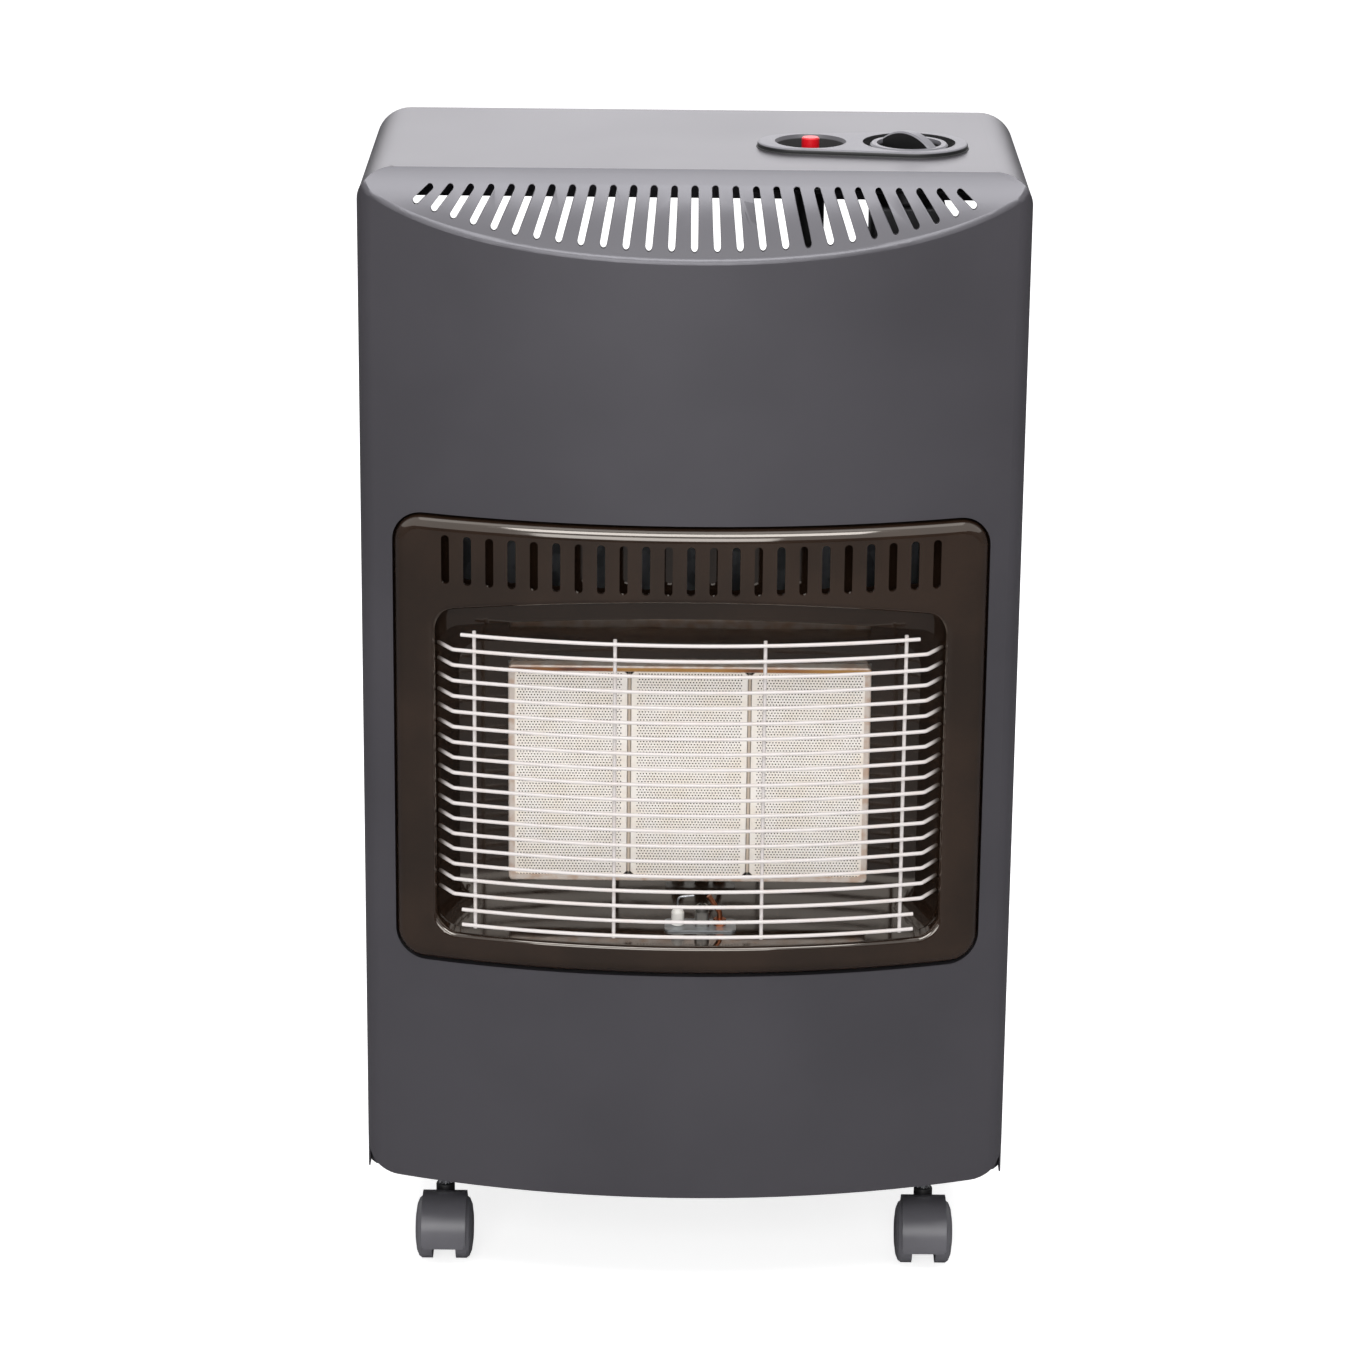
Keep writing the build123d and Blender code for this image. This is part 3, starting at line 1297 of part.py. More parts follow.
# ---------------------------------------------------------------- castors
axle_z = wheel_radius
stem_seat_z = hood_top - stem_grip
for name, (x, y) in castor_places.items():
    wheel_y = y - castor_trail
    side_plane = Plane(origin=(x, wheel_y, axle_z), x_dir=(0, 1, 0), z_dir=(1, 0, 0))

    with BuildPart() as hood:
        # fender, boss under the stem, and the web between the wheels
        with BuildSketch(side_plane):
            Circle(hood_radius)
            with Locations(((castor_trail + hood_boss) / 2, (hood_top - axle_z) / 2)):
                RectangleRounded(castor_trail + hood_boss, hood_top - axle_z, hood_corner)
        extrude(amount=hood_half, both=True)
        with BuildSketch(Plane(origin=(x, wheel_y, hood_bottom))):
            Rectangle(4 * hood_half, 4 * hood_half)
        extrude(amount=-hood_radius, mode=Mode.SUBTRACT)
        for side in (-1, 1):
            with BuildSketch(side_plane.offset(side * web_half)):
                Circle(hood_inner_radius)
                # the rear of each wheel is open low down
                with Locations((hood_radius, -hood_radius)):
                    Rectangle(2 * hood_radius, 2 * hood_radius)
            extrude(amount=side * hood_half, mode=Mode.SUBTRACT)
        with BuildSketch(side_plane):
            Circle(axle_radius + press)
        extrude(amount=hood_half, both=True, mode=Mode.SUBTRACT)
        with BuildSketch(Plane(origin=(x, y, hood_top))):
            Circle(stem_radius + press)
        extrude(amount=-stem_grip, mode=Mode.SUBTRACT)
    save(hood.part, f"castor_hood_{name}")

    with BuildPart() as pins:
        with BuildSketch(Plane(origin=(x, y, stem_seat_z + press))):
            Circle(stem_radius)
        extrude(amount=stem_top - stem_seat_z)
        chamfer(pins.faces().sort_by(Axis.Z)[-1].edges(), 1.0)
        with BuildSketch(side_plane):
            Circle(axle_radius)
        extrude(amount=axle_half, both=True)
    save(pins.part, f"castor_pins_{name}")

    with BuildPart() as collar:
        with BuildSketch(Plane(origin=(x, y, hood_top))):
            Circle(collar_radius)
        extrude(amount=collar_height)
        chamfer(collar.faces().sort_by(Axis.Z)[-1].edges(), collar_round)
        with BuildSketch(Plane(origin=(x, y, hood_top))):
            Circle(stem_radius + press)
        extrude(amount=collar_height, mode=Mode.SUBTRACT)
    save(collar.part, f"castor_collar_{name}")

    with BuildPart() as wheels:
        for side in (-1, 1):
            wheel_plane = Plane(origin=(x, wheel_y, axle_z), x_dir=(side, 0, 0), z_dir=(0, -side, 0))
            with BuildSketch(wheel_plane):
                with BuildLine():
                    dome = wheel_outer - tread_outer
                    Polyline(
                        (axle_half + fit_gap, 0),
                        (axle_half + fit_gap, axle_radius + running),
                        (wheel_inner, axle_radius + running),
                        (wheel_inner, wheel_radius),
                        (tread_outer, wheel_radius),
                        (tread_outer + 0.45 * dome, 0.93 * wheel_radius),
                        (tread_outer + 0.8 * dome, 0.75 * wheel_radius),
                        (wheel_outer, 0.45 * wheel_radius),
                        (wheel_outer, 0),
                        close=True,
                    )
                make_face()
            revolve(axis=Axis((x, wheel_y, axle_z), (1, 0, 0)))
    save(wheels.part, f"castor_wheels_{name}")
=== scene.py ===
"""Finishes, fine pieces and studio for the portable cabinet gas heater."""

import math

import bmesh
import bpy
from bpy.props import FloatProperty, FloatVectorProperty, PointerProperty
from mathutils import Matrix, Vector


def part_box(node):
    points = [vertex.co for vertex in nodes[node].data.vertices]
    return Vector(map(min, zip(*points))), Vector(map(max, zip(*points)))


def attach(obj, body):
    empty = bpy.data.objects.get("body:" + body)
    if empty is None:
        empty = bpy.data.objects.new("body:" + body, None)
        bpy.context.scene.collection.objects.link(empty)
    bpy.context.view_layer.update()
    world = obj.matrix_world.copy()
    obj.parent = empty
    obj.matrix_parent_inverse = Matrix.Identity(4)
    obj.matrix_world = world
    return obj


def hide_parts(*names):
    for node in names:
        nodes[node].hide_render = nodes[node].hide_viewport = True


bl_info = {
    "name": "Cabinet gas heater",
    "version": (1, 0, 0),
    "blender": (4, 5, 0),
    "location": "View3D > Sidebar > Heater",
    "description": "Finishes, guard, plaques and studio for a cabinet gas heater",
    "category": "Object",
}

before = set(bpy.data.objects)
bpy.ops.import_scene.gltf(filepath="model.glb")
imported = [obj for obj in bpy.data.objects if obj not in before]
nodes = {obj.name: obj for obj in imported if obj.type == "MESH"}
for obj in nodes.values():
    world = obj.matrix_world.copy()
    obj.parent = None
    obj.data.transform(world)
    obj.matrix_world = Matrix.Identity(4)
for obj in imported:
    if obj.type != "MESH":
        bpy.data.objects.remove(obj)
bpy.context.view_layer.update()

MM = 0.001
CASTOR_PLACES = ("front_left", "front_right", "rear_left", "rear_right")

# the bowed face, from the front pressing's box
panel_low, panel_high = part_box("front_panel")
HALF_WIDTH = panel_high.x
FRONT_Y = panel_low.y
BOW_SAGITTA = 40 * MM
BOW_RADIUS = (HALF_WIDTH**2 + BOW_SAGITTA**2) / (2 * BOW_SAGITTA)
BOW_CENTRE_Y = FRONT_Y + BOW_RADIUS


def srgb(red, green, blue):
    """Linear colour from the 0 to 255 numbers of a colour card."""
    return tuple(
        c / 12.92 if c <= 0.04045 else ((c + 0.055) / 1.055) ** 2.4
        for c in (red / 255, green / 255, blue / 255)
    )


def colour_property(name, description, red, green, blue):
    return FloatVectorProperty(
        name=name,
        description=description,
        subtype="COLOR",
        size=3,
        min=0.0,
        max=1.0,
        default=srgb(red, green, blue),
    )


def length_property(name, description, millimetres):
    return FloatProperty(
        name=name,
        description=description,
        subtype="DISTANCE",
        unit="LENGTH",
        min=0.0,
        default=millimetres * MM,
    )


def power_property(name, description, watts):
    return FloatProperty(
        name=name,
        description=description,
        unit="POWER",
        min=0.0,
        default=watts,
    )


class CabinetSettings(bpy.types.PropertyGroup):
    """Paint of the cabinet's sheet metal."""

    paint: colour_property("Paint", "Satin paint of cabinet, tray and hoop", 59, 57, 61)
    roughness: FloatProperty(
        name="Roughness",
        description="Roughness of the satin paint",
        subtype="FACTOR",
        min=0.0,
        max=1.0,
        default=0.34,
    )
    enamel: colour_property("Enamel", "Vitreous enamel round the burner", 35, 24, 17)


class GuardSettings(bpy.types.PropertyGroup):
    """Wires of the burner's guard."""

    plating: colour_property("Plating", "Cream finish of the wires", 203, 197, 195)
    wire: length_property("Wire", "Diameter of the guard's wires", 2.3)
    bend: length_property("Bend", "Inner radius where a wire turns to its leg", 2.5)
    weld: length_property("Weld", "Width of a weld where wires cross", 3.0)


class BurnerSettings(bpy.types.PropertyGroup):
    """Perforated plaques and the steel frame round them."""

    ceramic: colour_property("Ceramic", "Fired ceramic of the plaques", 246, 240, 234)
    pitch: length_property("Pitch", "Distance between neighbouring holes", 1.9)
    row_pitch: length_property("Row pitch", "Distance between rows of holes", 1.75)
    hole: length_property("Hole", "Diameter of one hole", 1.0)
    margin: length_property("Margin", "Plain ceramic beside the holes", 2.5)
    depth: length_property("Depth", "Modelled depth of a hole", 2.5)


class ControlSettings(bpy.types.PropertyGroup):
    """Plastics of the control set."""

    bezel: colour_property("Bezel", "Satin grey of bezel and knob", 110, 109, 115)
    button: colour_property("Button", "Red of the igniter button", 205, 14, 28)


class CastorSettings(bpy.types.PropertyGroup):
    """Plastic of the castors."""

    plastic: colour_property("Plastic", "Grey of hoods and wheels", 96, 95, 100)


class StudioSettings(bpy.types.PropertyGroup):
    """Floor, lamps and camera."""

    floor: colour_property("Floor", "Pale floor", 236, 236, 236)
    floor_glow: FloatProperty(
        name="Floor glow",
        description="White that a camera or mirror sees on top of the lit floor",
        min=0.0,
        default=0.74,
    )
    ambient: FloatProperty(
        name="Ambient",
        description="Strength of the even light from all round",
        min=0.0,
        default=0.45,
    )
    card: colour_property("Flags", "Dark cards that the gloss mirrors", 96, 96, 98)
    key: power_property("Key lamp", "Large lamp in front", 50.0)
    top: power_property("Top lamp", "Lamp above and in front, mirrored by rolled edges", 44.0)
    back: power_property("Back lamp", "Lamp behind, which the top mirrors", 17.0)
    sky: power_property("Sky lamp", "Wide lamp overhead", 25.0)
    lens: FloatProperty(
        name="Lens",
        description="Focal length of the camera in millimetres",
        min=1.0,
        default=120.04,
    )


SETTINGS = {
    "heater_cabinet": CabinetSettings,
    "heater_guard": GuardSettings,
    "heater_burner": BurnerSettings,
    "heater_controls": ControlSettings,
    "heater_castors": CastorSettings,
    "heater_studio": StudioSettings,
}


class Finish:
    """One material in the making: its nodes, its shader and where the surface is."""

    def __init__(self, name, colour, roughness, metallic=0.0, **uniform):
        self.material = bpy.data.materials.new(name)
        self.material.use_nodes = True
        self.tree = self.material.node_tree
        self.shader = self.tree.nodes["Principled BSDF"]
        self.coordinates = self.tree.nodes.new("ShaderNodeTexCoord")
        self.place = self.coordinates.outputs["Object"]
        self.set(Base_Color=(*colour, 1.0), Roughness=roughness, Metallic=metallic)
        self.set(**uniform)

    def set(self, **sockets):
        """Give the shader's sockets a number, a colour or another node's output."""
        for name, value in sockets.items():
            self.feed(self.shader.inputs[name.replace("_", " ")], value)

    def feed(self, socket, value):
        if isinstance(value, bpy.types.NodeSocket):
            self.tree.links.new(value, socket)
        else:
            socket.default_value = value

    def add(self, kind, inputs, output=0, **options):
        """New node with its inputs fed, by name or number. Returns one output."""
        node = self.tree.nodes.new(kind)
        for name, value in options.items():
            setattr(node, name, value)
        for name, value in inputs.items():
            self.feed(node.inputs[name], value)
        return node.outputs[output]

    def math(self, operation, first, second=0.0):
        inputs = {0: first, 1: second}
        return self.add("ShaderNodeMath", inputs, operation=operation)

    def noise(self, scale, detail=2.0, stretch=(1, 1, 1)):
        """Noise of about one feature per 1/scale metres, drawn out by stretch."""
        place = self.place
        if stretch != (1, 1, 1):
            place = self.add("ShaderNodeMapping", {"Vector": place, "Scale": stretch})
        inputs = {"Vector": place, "Scale": scale, "Detail": detail}
        return self.add("ShaderNodeTexNoise", inputs)

    def span(self, value, start, end, low=0.0, high=1.0):
        """Value from start to end, turned into low to high and kept there."""
        inputs = {0: value, 1: start, 2: end, 3: low, 4: high}
        return self.add("ShaderNodeMapRange", inputs, interpolation_type="SMOOTHSTEP")

    def mix(self, share, first, second):
        """Colour between two, which may be colours or outputs."""
        inputs = {0: share}
        for number, colour in ((6, first), (7, second)):
            plain = not isinstance(colour, bpy.types.NodeSocket)
            inputs[number] = (*colour, 1.0) if plain and len(colour) == 3 else colour
        return self.add("ShaderNodeMix", inputs, output=2, data_type="RGBA")

    def axis(self, letter, of=None):
        """One coordinate of the surface, in metres."""
        inputs = {0: of or self.place}
        return self.add("ShaderNodeSeparateXYZ", inputs, output="XYZ".index(letter))

    def bump(self, height, depth, under=None):
        """Relief of the given depth in metres, over another relief if there is one."""
        inputs = {"Height": height, "Distance": depth, "Strength": 1.0}
        if under is not None:
            inputs["Normal"] = under
        return self.add("ShaderNodeBump", inputs)


def shade(colour, factor):
    """A colour made lighter or darker."""
    return tuple(min(1.0, c * factor) for c in colour)


COOL_SHEEN = (0.94, 0.935, 1.0, 1.0)
WARM_SHEEN = (1.0, 0.94, 0.87, 1.0)


def satin_paint(settings):
    """Stoved satin paint: slightly cloudy, with a fine orange peel."""
    base = tuple(settings.paint)
    gloss = settings.roughness
    paint = Finish("satin_paint", base, gloss, IOR=1.7, Specular_Tint=COOL_SHEEN)
    tone = paint.span(paint.noise(9, 3), 0.3, 0.7)
    paint.set(Base_Color=paint.mix(tone, shade(base, 0.93), shade(base, 1.07)))
    paint.set(Roughness=paint.span(paint.noise(6, 2), 0.3, 0.7, gloss - 0.01, gloss + 0.015))
    paint.set(Normal=paint.bump(paint.noise(2600, 1), 0.0012 * MM))
    return paint.material


def vitreous_enamel(settings):
    """Glassy brown-black enamel with the slight waves that firing leaves."""
    base = tuple(settings.enamel)
    enamel = Finish("vitreous_enamel", base, 0.06, IOR=1.8, Specular_Tint=WARM_SHEEN)
    depth = enamel.span(enamel.noise(14, 3), 0.35, 0.65)
    enamel.set(Base_Color=enamel.mix(depth, shade(base, 0.8), shade(base, 1.25)))
    enamel.set(Roughness=enamel.span(enamel.noise(60, 3), 0.3, 0.7, 0.05, 0.1))
    waves = enamel.bump(enamel.noise(30, 1), 0.12 * MM)
    enamel.set(Normal=enamel.bump(enamel.noise(420, 1), 0.004 * MM, waves))
    return enamel.material


def guard_plating(settings):
    """Pale heat-proof finish of the guard, a little uneven; painted shade darkens the wire ends.
    """
    base = tuple(settings.plating)
    plating = Finish("guard_plating", base, 0.36)
    warm = (base[0] * 0.97, base[1] * 0.92, base[2] * 0.88)
    patches = plating.span(plating.noise(90, 3), 0.45, 0.75, 0.0, 0.6)
    # painted shade: the wires turn dark brown-grey towards their ends, which lie back in shade
    reach = plating.math("ABSOLUTE", plating.axis("X"))
    ends = plating.span(reach, GUARD_REACH_X + 3 * MM, GUARD_REACH_X + GUARD_LEG.x)
    worn = plating.mix(patches, base, warm)
    plating.set(Base_Color=plating.mix(ends, worn, srgb(74, 66, 60)))
    plating.set(Roughness=plating.span(plating.noise(300, 2), 0.3, 0.7, 0.28, 0.45))
    plating.set(Normal=plating.bump(plating.noise(1800, 2), 0.03 * MM))
    return plating.material


def fired_ceramic(settings):
    """Matt fibrous ceramic with painted shade inside its holes, behind a face at y = 0."""
    base = tuple(settings.ceramic)
    ceramic = Finish("fired_ceramic", base, 0.85)
    clay = ceramic.mix(
        ceramic.span(ceramic.noise(55, 4), 0.35, 0.7),
        base,
        (base[0] * 0.96, base[1] * 0.93, base[2] * 0.88),
    )
    # painted shade: darker brown deeper into each hole
    hole_shade = ceramic.span(ceramic.axis("Y"), 0.02 * MM, 0.6 * MM)
    ceramic.set(Base_Color=ceramic.mix(hole_shade, clay, srgb(58, 44, 36)))
    ceramic.set(Roughness=ceramic.span(ceramic.noise(500, 2), 0.3, 0.7, 0.78, 0.92))
    ceramic.set(Normal=ceramic.bump(ceramic.noise(2600, 3), 0.04 * MM))
    return ceramic.material


# the burner frame's heat-tinted strip, below the frame's top
STRIP_FOOT = 4.2 * MM
STRIP_WIDTH = 2.3 * MM


def tinted_steel(strip_z):
    """Burner frame: cream-grey steel, tinted gold to copper along its upper strip; above the
    strip its top edge stays cream as a painted highlight.
    """
    bright = srgb(222, 210, 200)
    steel = Finish("tinted_steel", bright, 0.34, 0.25)
    across = steel.span(steel.noise(14, 2, (1, 0.2, 0.2)), 0.38, 0.66)
    tint = steel.mix(across, srgb(196, 146, 84), srgb(150, 84, 52))
    violet = steel.span(steel.noise(22, 1, (1, 0.1, 0.1)), 0.56, 0.68)
    tint = steel.mix(violet, tint, srgb(92, 66, 66))
    upper = steel.span(steel.axis("Z"), strip_z, strip_z + 0.8 * MM)
    strip_top = strip_z + STRIP_WIDTH
    # painted highlight: the tint ends below the frame's top, so the top edge shows as a cream
    # line
    highlight_edge = steel.span(steel.axis("Z"), strip_top, strip_top + 0.6 * MM, 1.0, 0.0)
    worn = steel.mix(steel.span(steel.noise(120, 3), 0.4, 0.7), bright, srgb(206, 178, 158))
    steel.set(Base_Color=steel.mix(steel.math("MULTIPLY", upper, highlight_edge), worn, tint))
    steel.set(Roughness=steel.span(steel.noise(260, 2), 0.3, 0.7, 0.28, 0.42))
    steel.set(Normal=steel.bump(steel.noise(700, 2), 0.03 * MM))
    return steel.material


def rolled_steel(name, colour, roughness, metallic=1.0):
    """Plain sheet or drawn metal with rolling marks and dull patches."""
    steel = Finish(name, colour, roughness, metallic)
    dull = steel.span(steel.noise(35, 4), 0.35, 0.7)
    steel.set(Base_Color=steel.mix(dull, colour, shade(colour, 0.78)))
    grain = steel.noise(900, 2, (1, 1, 0.06))
    steel.set(Roughness=steel.span(grain, 0.3, 0.7, roughness - 0.06, roughness + 0.1))
    steel.set(Normal=steel.bump(grain, 0.008 * MM))
    return steel.material


def galvanised_sheet():
    """Zinc-coated sheet with its frosted crystals."""
    zinc = srgb(168, 172, 175)
    sheet = Finish("galvanised_sheet", zinc, 0.42, 0.85)
    inputs = {"Vector": sheet.place, "Scale": 110.0}
    crystal = sheet.add("ShaderNodeTexVoronoi", inputs, output=1)
    tone = sheet.axis("X", crystal)
    sheet.set(Base_Color=sheet.mix(tone, shade(zinc, 0.8), shade(zinc, 1.12)))
    sheet.set(Roughness=sheet.span(tone, 0.0, 1.0, 0.34, 0.52))
    sheet.set(Normal=sheet.bump(sheet.noise(400, 3), 0.01 * MM))
    return sheet.material


def moulded_plastic(name, colour, roughness, grain=0.02):
    """Moulded plastic with a fine spark-eroded texture."""
    plastic = Finish(name, colour, roughness)
    tone = plastic.span(plastic.noise(40, 3), 0.35, 0.65)
    plastic.set(Base_Color=plastic.mix(tone, shade(colour, 0.95), shade(colour, 1.05)))
    texture = plastic.noise(2400, 2)
    plastic.set(Roughness=plastic.span(texture, 0.3, 0.7, roughness - 0.04, roughness + 0.06))
    plastic.set(Normal=plastic.bump(texture, grain * MM))
    return plastic.material


def cast_alloy():
    """Die-cast valve body: matt, faintly mottled, in a grey darker than the bare alloy as painted
    shade for the dim inside of the cabinet.
    """
    # painted shade: this grey is darker than the alloy's own
    grey = srgb(104, 104, 107)
    alloy = Finish("cast_alloy", grey, 0.5, 0.8)
    alloy.set(Base_Color=alloy.mix(alloy.noise(80, 4), shade(grey, 0.8), shade(grey, 1.15)))
    alloy.set(Roughness=alloy.span(alloy.noise(500, 2), 0.3, 0.7, 0.42, 0.6))
    alloy.set(Normal=alloy.bump(alloy.noise(900, 3), 0.05 * MM))
    return alloy.material


# painted shade, in the colour of bare dark plastic, is full this far below the bezel's top and
# the knob's ring, and gone at the second depth
BEZEL_SHADE_DEPTHS = (2.6 * MM, 1.6 * MM)
KNOB_SHADE_DEPTHS = (3.0 * MM, 2.0 * MM)
KNOB_RING_TOP = 721 * MM
KNOB_RING_INSIDE = (18.9 * MM, 19.4 * MM)


def bezel_finish(settings):
    """Satin grey bezel; low in its two wells and on faces that don't face up, painted shade in
    the colour of bare dark plastic.
    """
    base = tuple(settings.bezel)
    bezel = Finish("bezel_finish", base, 0.4)
    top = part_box("control_bezel")[1].z
    # painted shade: dark low down in the wells and on faces that turn away from the light above
    raised = bezel.span(bezel.axis("Z"), top - BEZEL_SHADE_DEPTHS[0], top - BEZEL_SHADE_DEPTHS[1])
    facing_up = bezel.span(bezel.axis("Z", bezel.coordinates.outputs["Normal"]), 0.35, 0.6)
    satin = bezel.math("MULTIPLY", raised, facing_up)
    bezel.set(Base_Color=bezel.mix(satin, srgb(16, 16, 17), base))
    texture = bezel.noise(2200, 2)
    sheen = bezel.span(texture, 0.3, 0.7, 0.36, 0.46)
    dull = bezel.span(raised, 0.0, 1.0, 0.45, 0.0)
    bezel.set(Roughness=bezel.math("ADD", sheen, dull))
    bezel.set(Normal=bezel.bump(texture, 0.015 * MM))
    return bezel.material


def knob_finish(settings):
    """Knob with a satin grey ring and grip; painted shade blackens its two pockets and the sides
    of the grip that don't face up.
    """
    base = tuple(settings.bezel)
    knob = Finish("knob_finish", base, 0.38)
    low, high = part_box("control_knob")
    middle = (low + high) / 2
    across = knob.math("SUBTRACT", knob.axis("X"), middle.x)
    along = knob.math("SUBTRACT", knob.axis("Y"), middle.y)
    squares = knob.math("ADD", knob.math("POWER", across, 2.0), knob.math("POWER", along, 2.0))
    outer = knob.span(knob.math("SQRT", squares), *KNOB_RING_INSIDE)
    # painted shade: the grip's sides and everything below the ring top inside the ring turn black
    upright = knob.span(knob.axis("Z", knob.coordinates.outputs["Normal"]), 0.3, 0.6)
    dark, satin = (KNOB_RING_TOP - depth for depth in KNOB_SHADE_DEPTHS)
    high_up = knob.span(knob.axis("Z"), dark, satin)
    crown = knob.math("MULTIPLY", upright, high_up)
    clear_of_painted_shade = knob.math("MAXIMUM", knob.math("MULTIPLY", outer, high_up), crown)
    knob.set(Base_Color=knob.mix(clear_of_painted_shade, srgb(20, 20, 21), base))
    texture = knob.noise(2200, 2)
    knob.set(Roughness=knob.span(texture, 0.3, 0.7, 0.33, 0.44))
    knob.set(Normal=knob.bump(texture, 0.012 * MM))
    return knob.material


def dress(material, *names):
    """Give CAD nodes a finish."""
    for name in names:
        nodes[name].material_slots[0].material = material


def piece(name, mesh, material, slot, body="cabinet"):
    """New object of the heater, in the CAD's frame, riding on its body."""
    thing = bpy.data.objects.new(name, mesh)
    bpy.context.scene.collection.objects.link(thing)
    mesh.materials.append(material)
    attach(thing, body)
    return thing


def smooth_angle(mesh, degrees):
    """Smooth faces, with creases where they meet at more than the angle."""
    mesh.polygons.foreach_set("use_smooth", [True] * len(mesh.polygons))
    mesh.set_sharp_from_angle(angle=math.radians(degrees))


def finished_mesh(form, name, crease=35):
    """Mesh from a bmesh, with its normals outwards."""
    bmesh.ops.recalc_face_normals(form, faces=form.faces)
    mesh = bpy.data.meshes.new(name)
    form.to_mesh(mesh)
    form.free()
    smooth_angle(mesh, crease)
    return mesh


# ---------------------------------------------------------------- slots
SHARP_EDGE = math.radians(20)
SKIN_FACING = 0.12
WALL_FACING = 0.06
SHORTEST_RING = 30 * MM
LONGEST_RING = 150 * MM
SHOULDER_FLANGE = (0.35 * MM, 3.5 * MM)
GRILLE_FLANGE = (0.3 * MM, 3 * MM)


def sharp_rings(name, wanted):
    """Rings of points along the sharp edges that are wanted on a CAD node's mesh."""
    form = bmesh.new()
    form.from_mesh(nodes[name].data)
    bmesh.ops.remove_doubles(form, verts=form.verts, dist=0.002 * MM)
    follow = {}
    for edge in form.edges:
        if edge.calc_face_angle(0.0) > SHARP_EDGE and wanted(edge):
            for here, there in (edge.verts, reversed(edge.verts)):
                follow.setdefault(here, []).append(there)
    rings = []
    while follow:
        here, ring = next(iter(follow)), []
        while here is not None:
            ring.append(here.co.copy())
            here = next((v for v in follow.pop(here) if v in follow), None)
        rings.append(ring)
    form.free()
    return rings


def ring_length(ring):
    return sum((here - before).length for before, here in zip(ring, ring[1:] + ring[:1]))


def slot_rings(name):
    """Front edges of the slots that are cut straight through a face of the node."""

    def on_skin(edge):
        skin, wall = sorted(face.normal.y for face in edge.link_faces)
        return skin < -SKIN_FACING and abs(wall) < WALL_FACING

    rings = sharp_rings(name, on_skin)
    return [ring for ring in rings if SHORTEST_RING < ring_length(ring) < LONGEST_RING]


def outward_from_slot(ring):
    """For each point of a slot's ring, the direction away from the slot's long axis."""
    middle = sum(ring, Vector()) / len(ring)
    far = max(ring, key=lambda point: (point - middle).length)
    along = (far - middle).normalized()
    half_width = min((point - middle).length for point in ring)
    reach = (far - middle).length - half_width
    directions = []
    for point in ring:
        shift = max(-reach, min(reach, (point - middle).dot(along)))
        directions.append((point - middle - along * shift).normalized())
    return directions


def slot_flanges(name, rings, thickness, depth):
    """Edges of the slots, turned in at the back of the sheet."""
    form = bmesh.new()
    back = Vector((0.0, depth, 0.0))
    for ring in rings:
        inner = [point - way * thickness for point, way in zip(ring, outward_from_slot(ring))]
        loops = [ring, inner, [p + back for p in inner], [p + back for p in ring]]
        loops = [[form.verts.new(point) for point in loop] for loop in loops]
        for near, far in zip(loops, loops[1:] + loops[:1]):
            for i in range(len(ring)):
                form.faces.new((near[i - 1], near[i], far[i], far[i - 1]))
    return finished_mesh(form, name)


# ---------------------------------------------------------------- wire guard
# 20 bowed wires; the rows that aren't in GUARD_SHORT_ROWS turn back to a leg at both ends
GUARD_ROWS = 20
GUARD_SHORT_ROWS = (0, 1, 19)
GUARD_FREE_X = 138 * MM
GUARD_REACH_X = 143 * MM
GUARD_LEG = Vector((9.4 * MM, 15 * MM))
GUARD_POST_X = (-130 * MM, -45 * MM, 45 * MM, 130 * MM)
GUARD_PROUD = 6 * MM


def guard_y(x):
    """Centre line of the bowed wires at x."""
    return BOW_CENTRE_Y - math.sqrt((BOW_RADIUS + GUARD_PROUD) ** 2 - x**2)


def bowed_line(reach, count):
    """Points along the bow, from one side's reach to the other's."""
    steps = [reach * (2 * i / count - 1) for i in range(count + 1)]
    return [Vector((x, guard_y(x))) for x in steps]


def rounded_corner(before, corner, after, radius, count=5):
    """Points of an arc that takes off a corner."""
    into = (before - corner).normalized()
    out = (after - corner).normalized()
    half = into.angle(out) / 2
    back = radius / math.tan(half)
    centre = corner + (into + out).normalized() * (radius / math.sin(half))
    start = corner + into * back - centre
    end = corner + out * back - centre
    turn = start.angle_signed(end)
    points = []
    for i in range(count + 1):
        rotation = Matrix.Rotation(-turn * i / count, 2)
        points.append(centre + rotation @ start)
    return points


def guard_wire_line(row, bend):
    """One guard wire seen from above: the bow, and its legs in the long rows."""
    if row in GUARD_SHORT_ROWS:
        return bowed_line(GUARD_FREE_X, 28)
    bow = bowed_line(GUARD_REACH_X, 30)
    foot = bow[-1] + GUARD_LEG
    right = rounded_corner(bow[-2], bow[-1], foot, bend)
    half = bow[1:-1] + right + [foot]
    left = [Vector((-p.x, p.y)) for p in reversed(right + [foot])]
    return left + half


def wire_curve(name, lines, radius, closed=False):
    """Round wires along lists of points."""
    curve = bpy.data.curves.new(name, "CURVE")
    curve.dimensions = "3D"
    curve.bevel_depth = radius
    curve.bevel_resolution = 4
    curve.use_fill_caps = True
    for line in lines:
        spline = curve.splines.new("POLY")
        spline.points.add(len(line) - 1)
        for point, place in zip(spline.points, line):
            point.co = (*place, 1.0)
        spline.use_smooth = True
        spline.use_cyclic_u = closed
    return curve


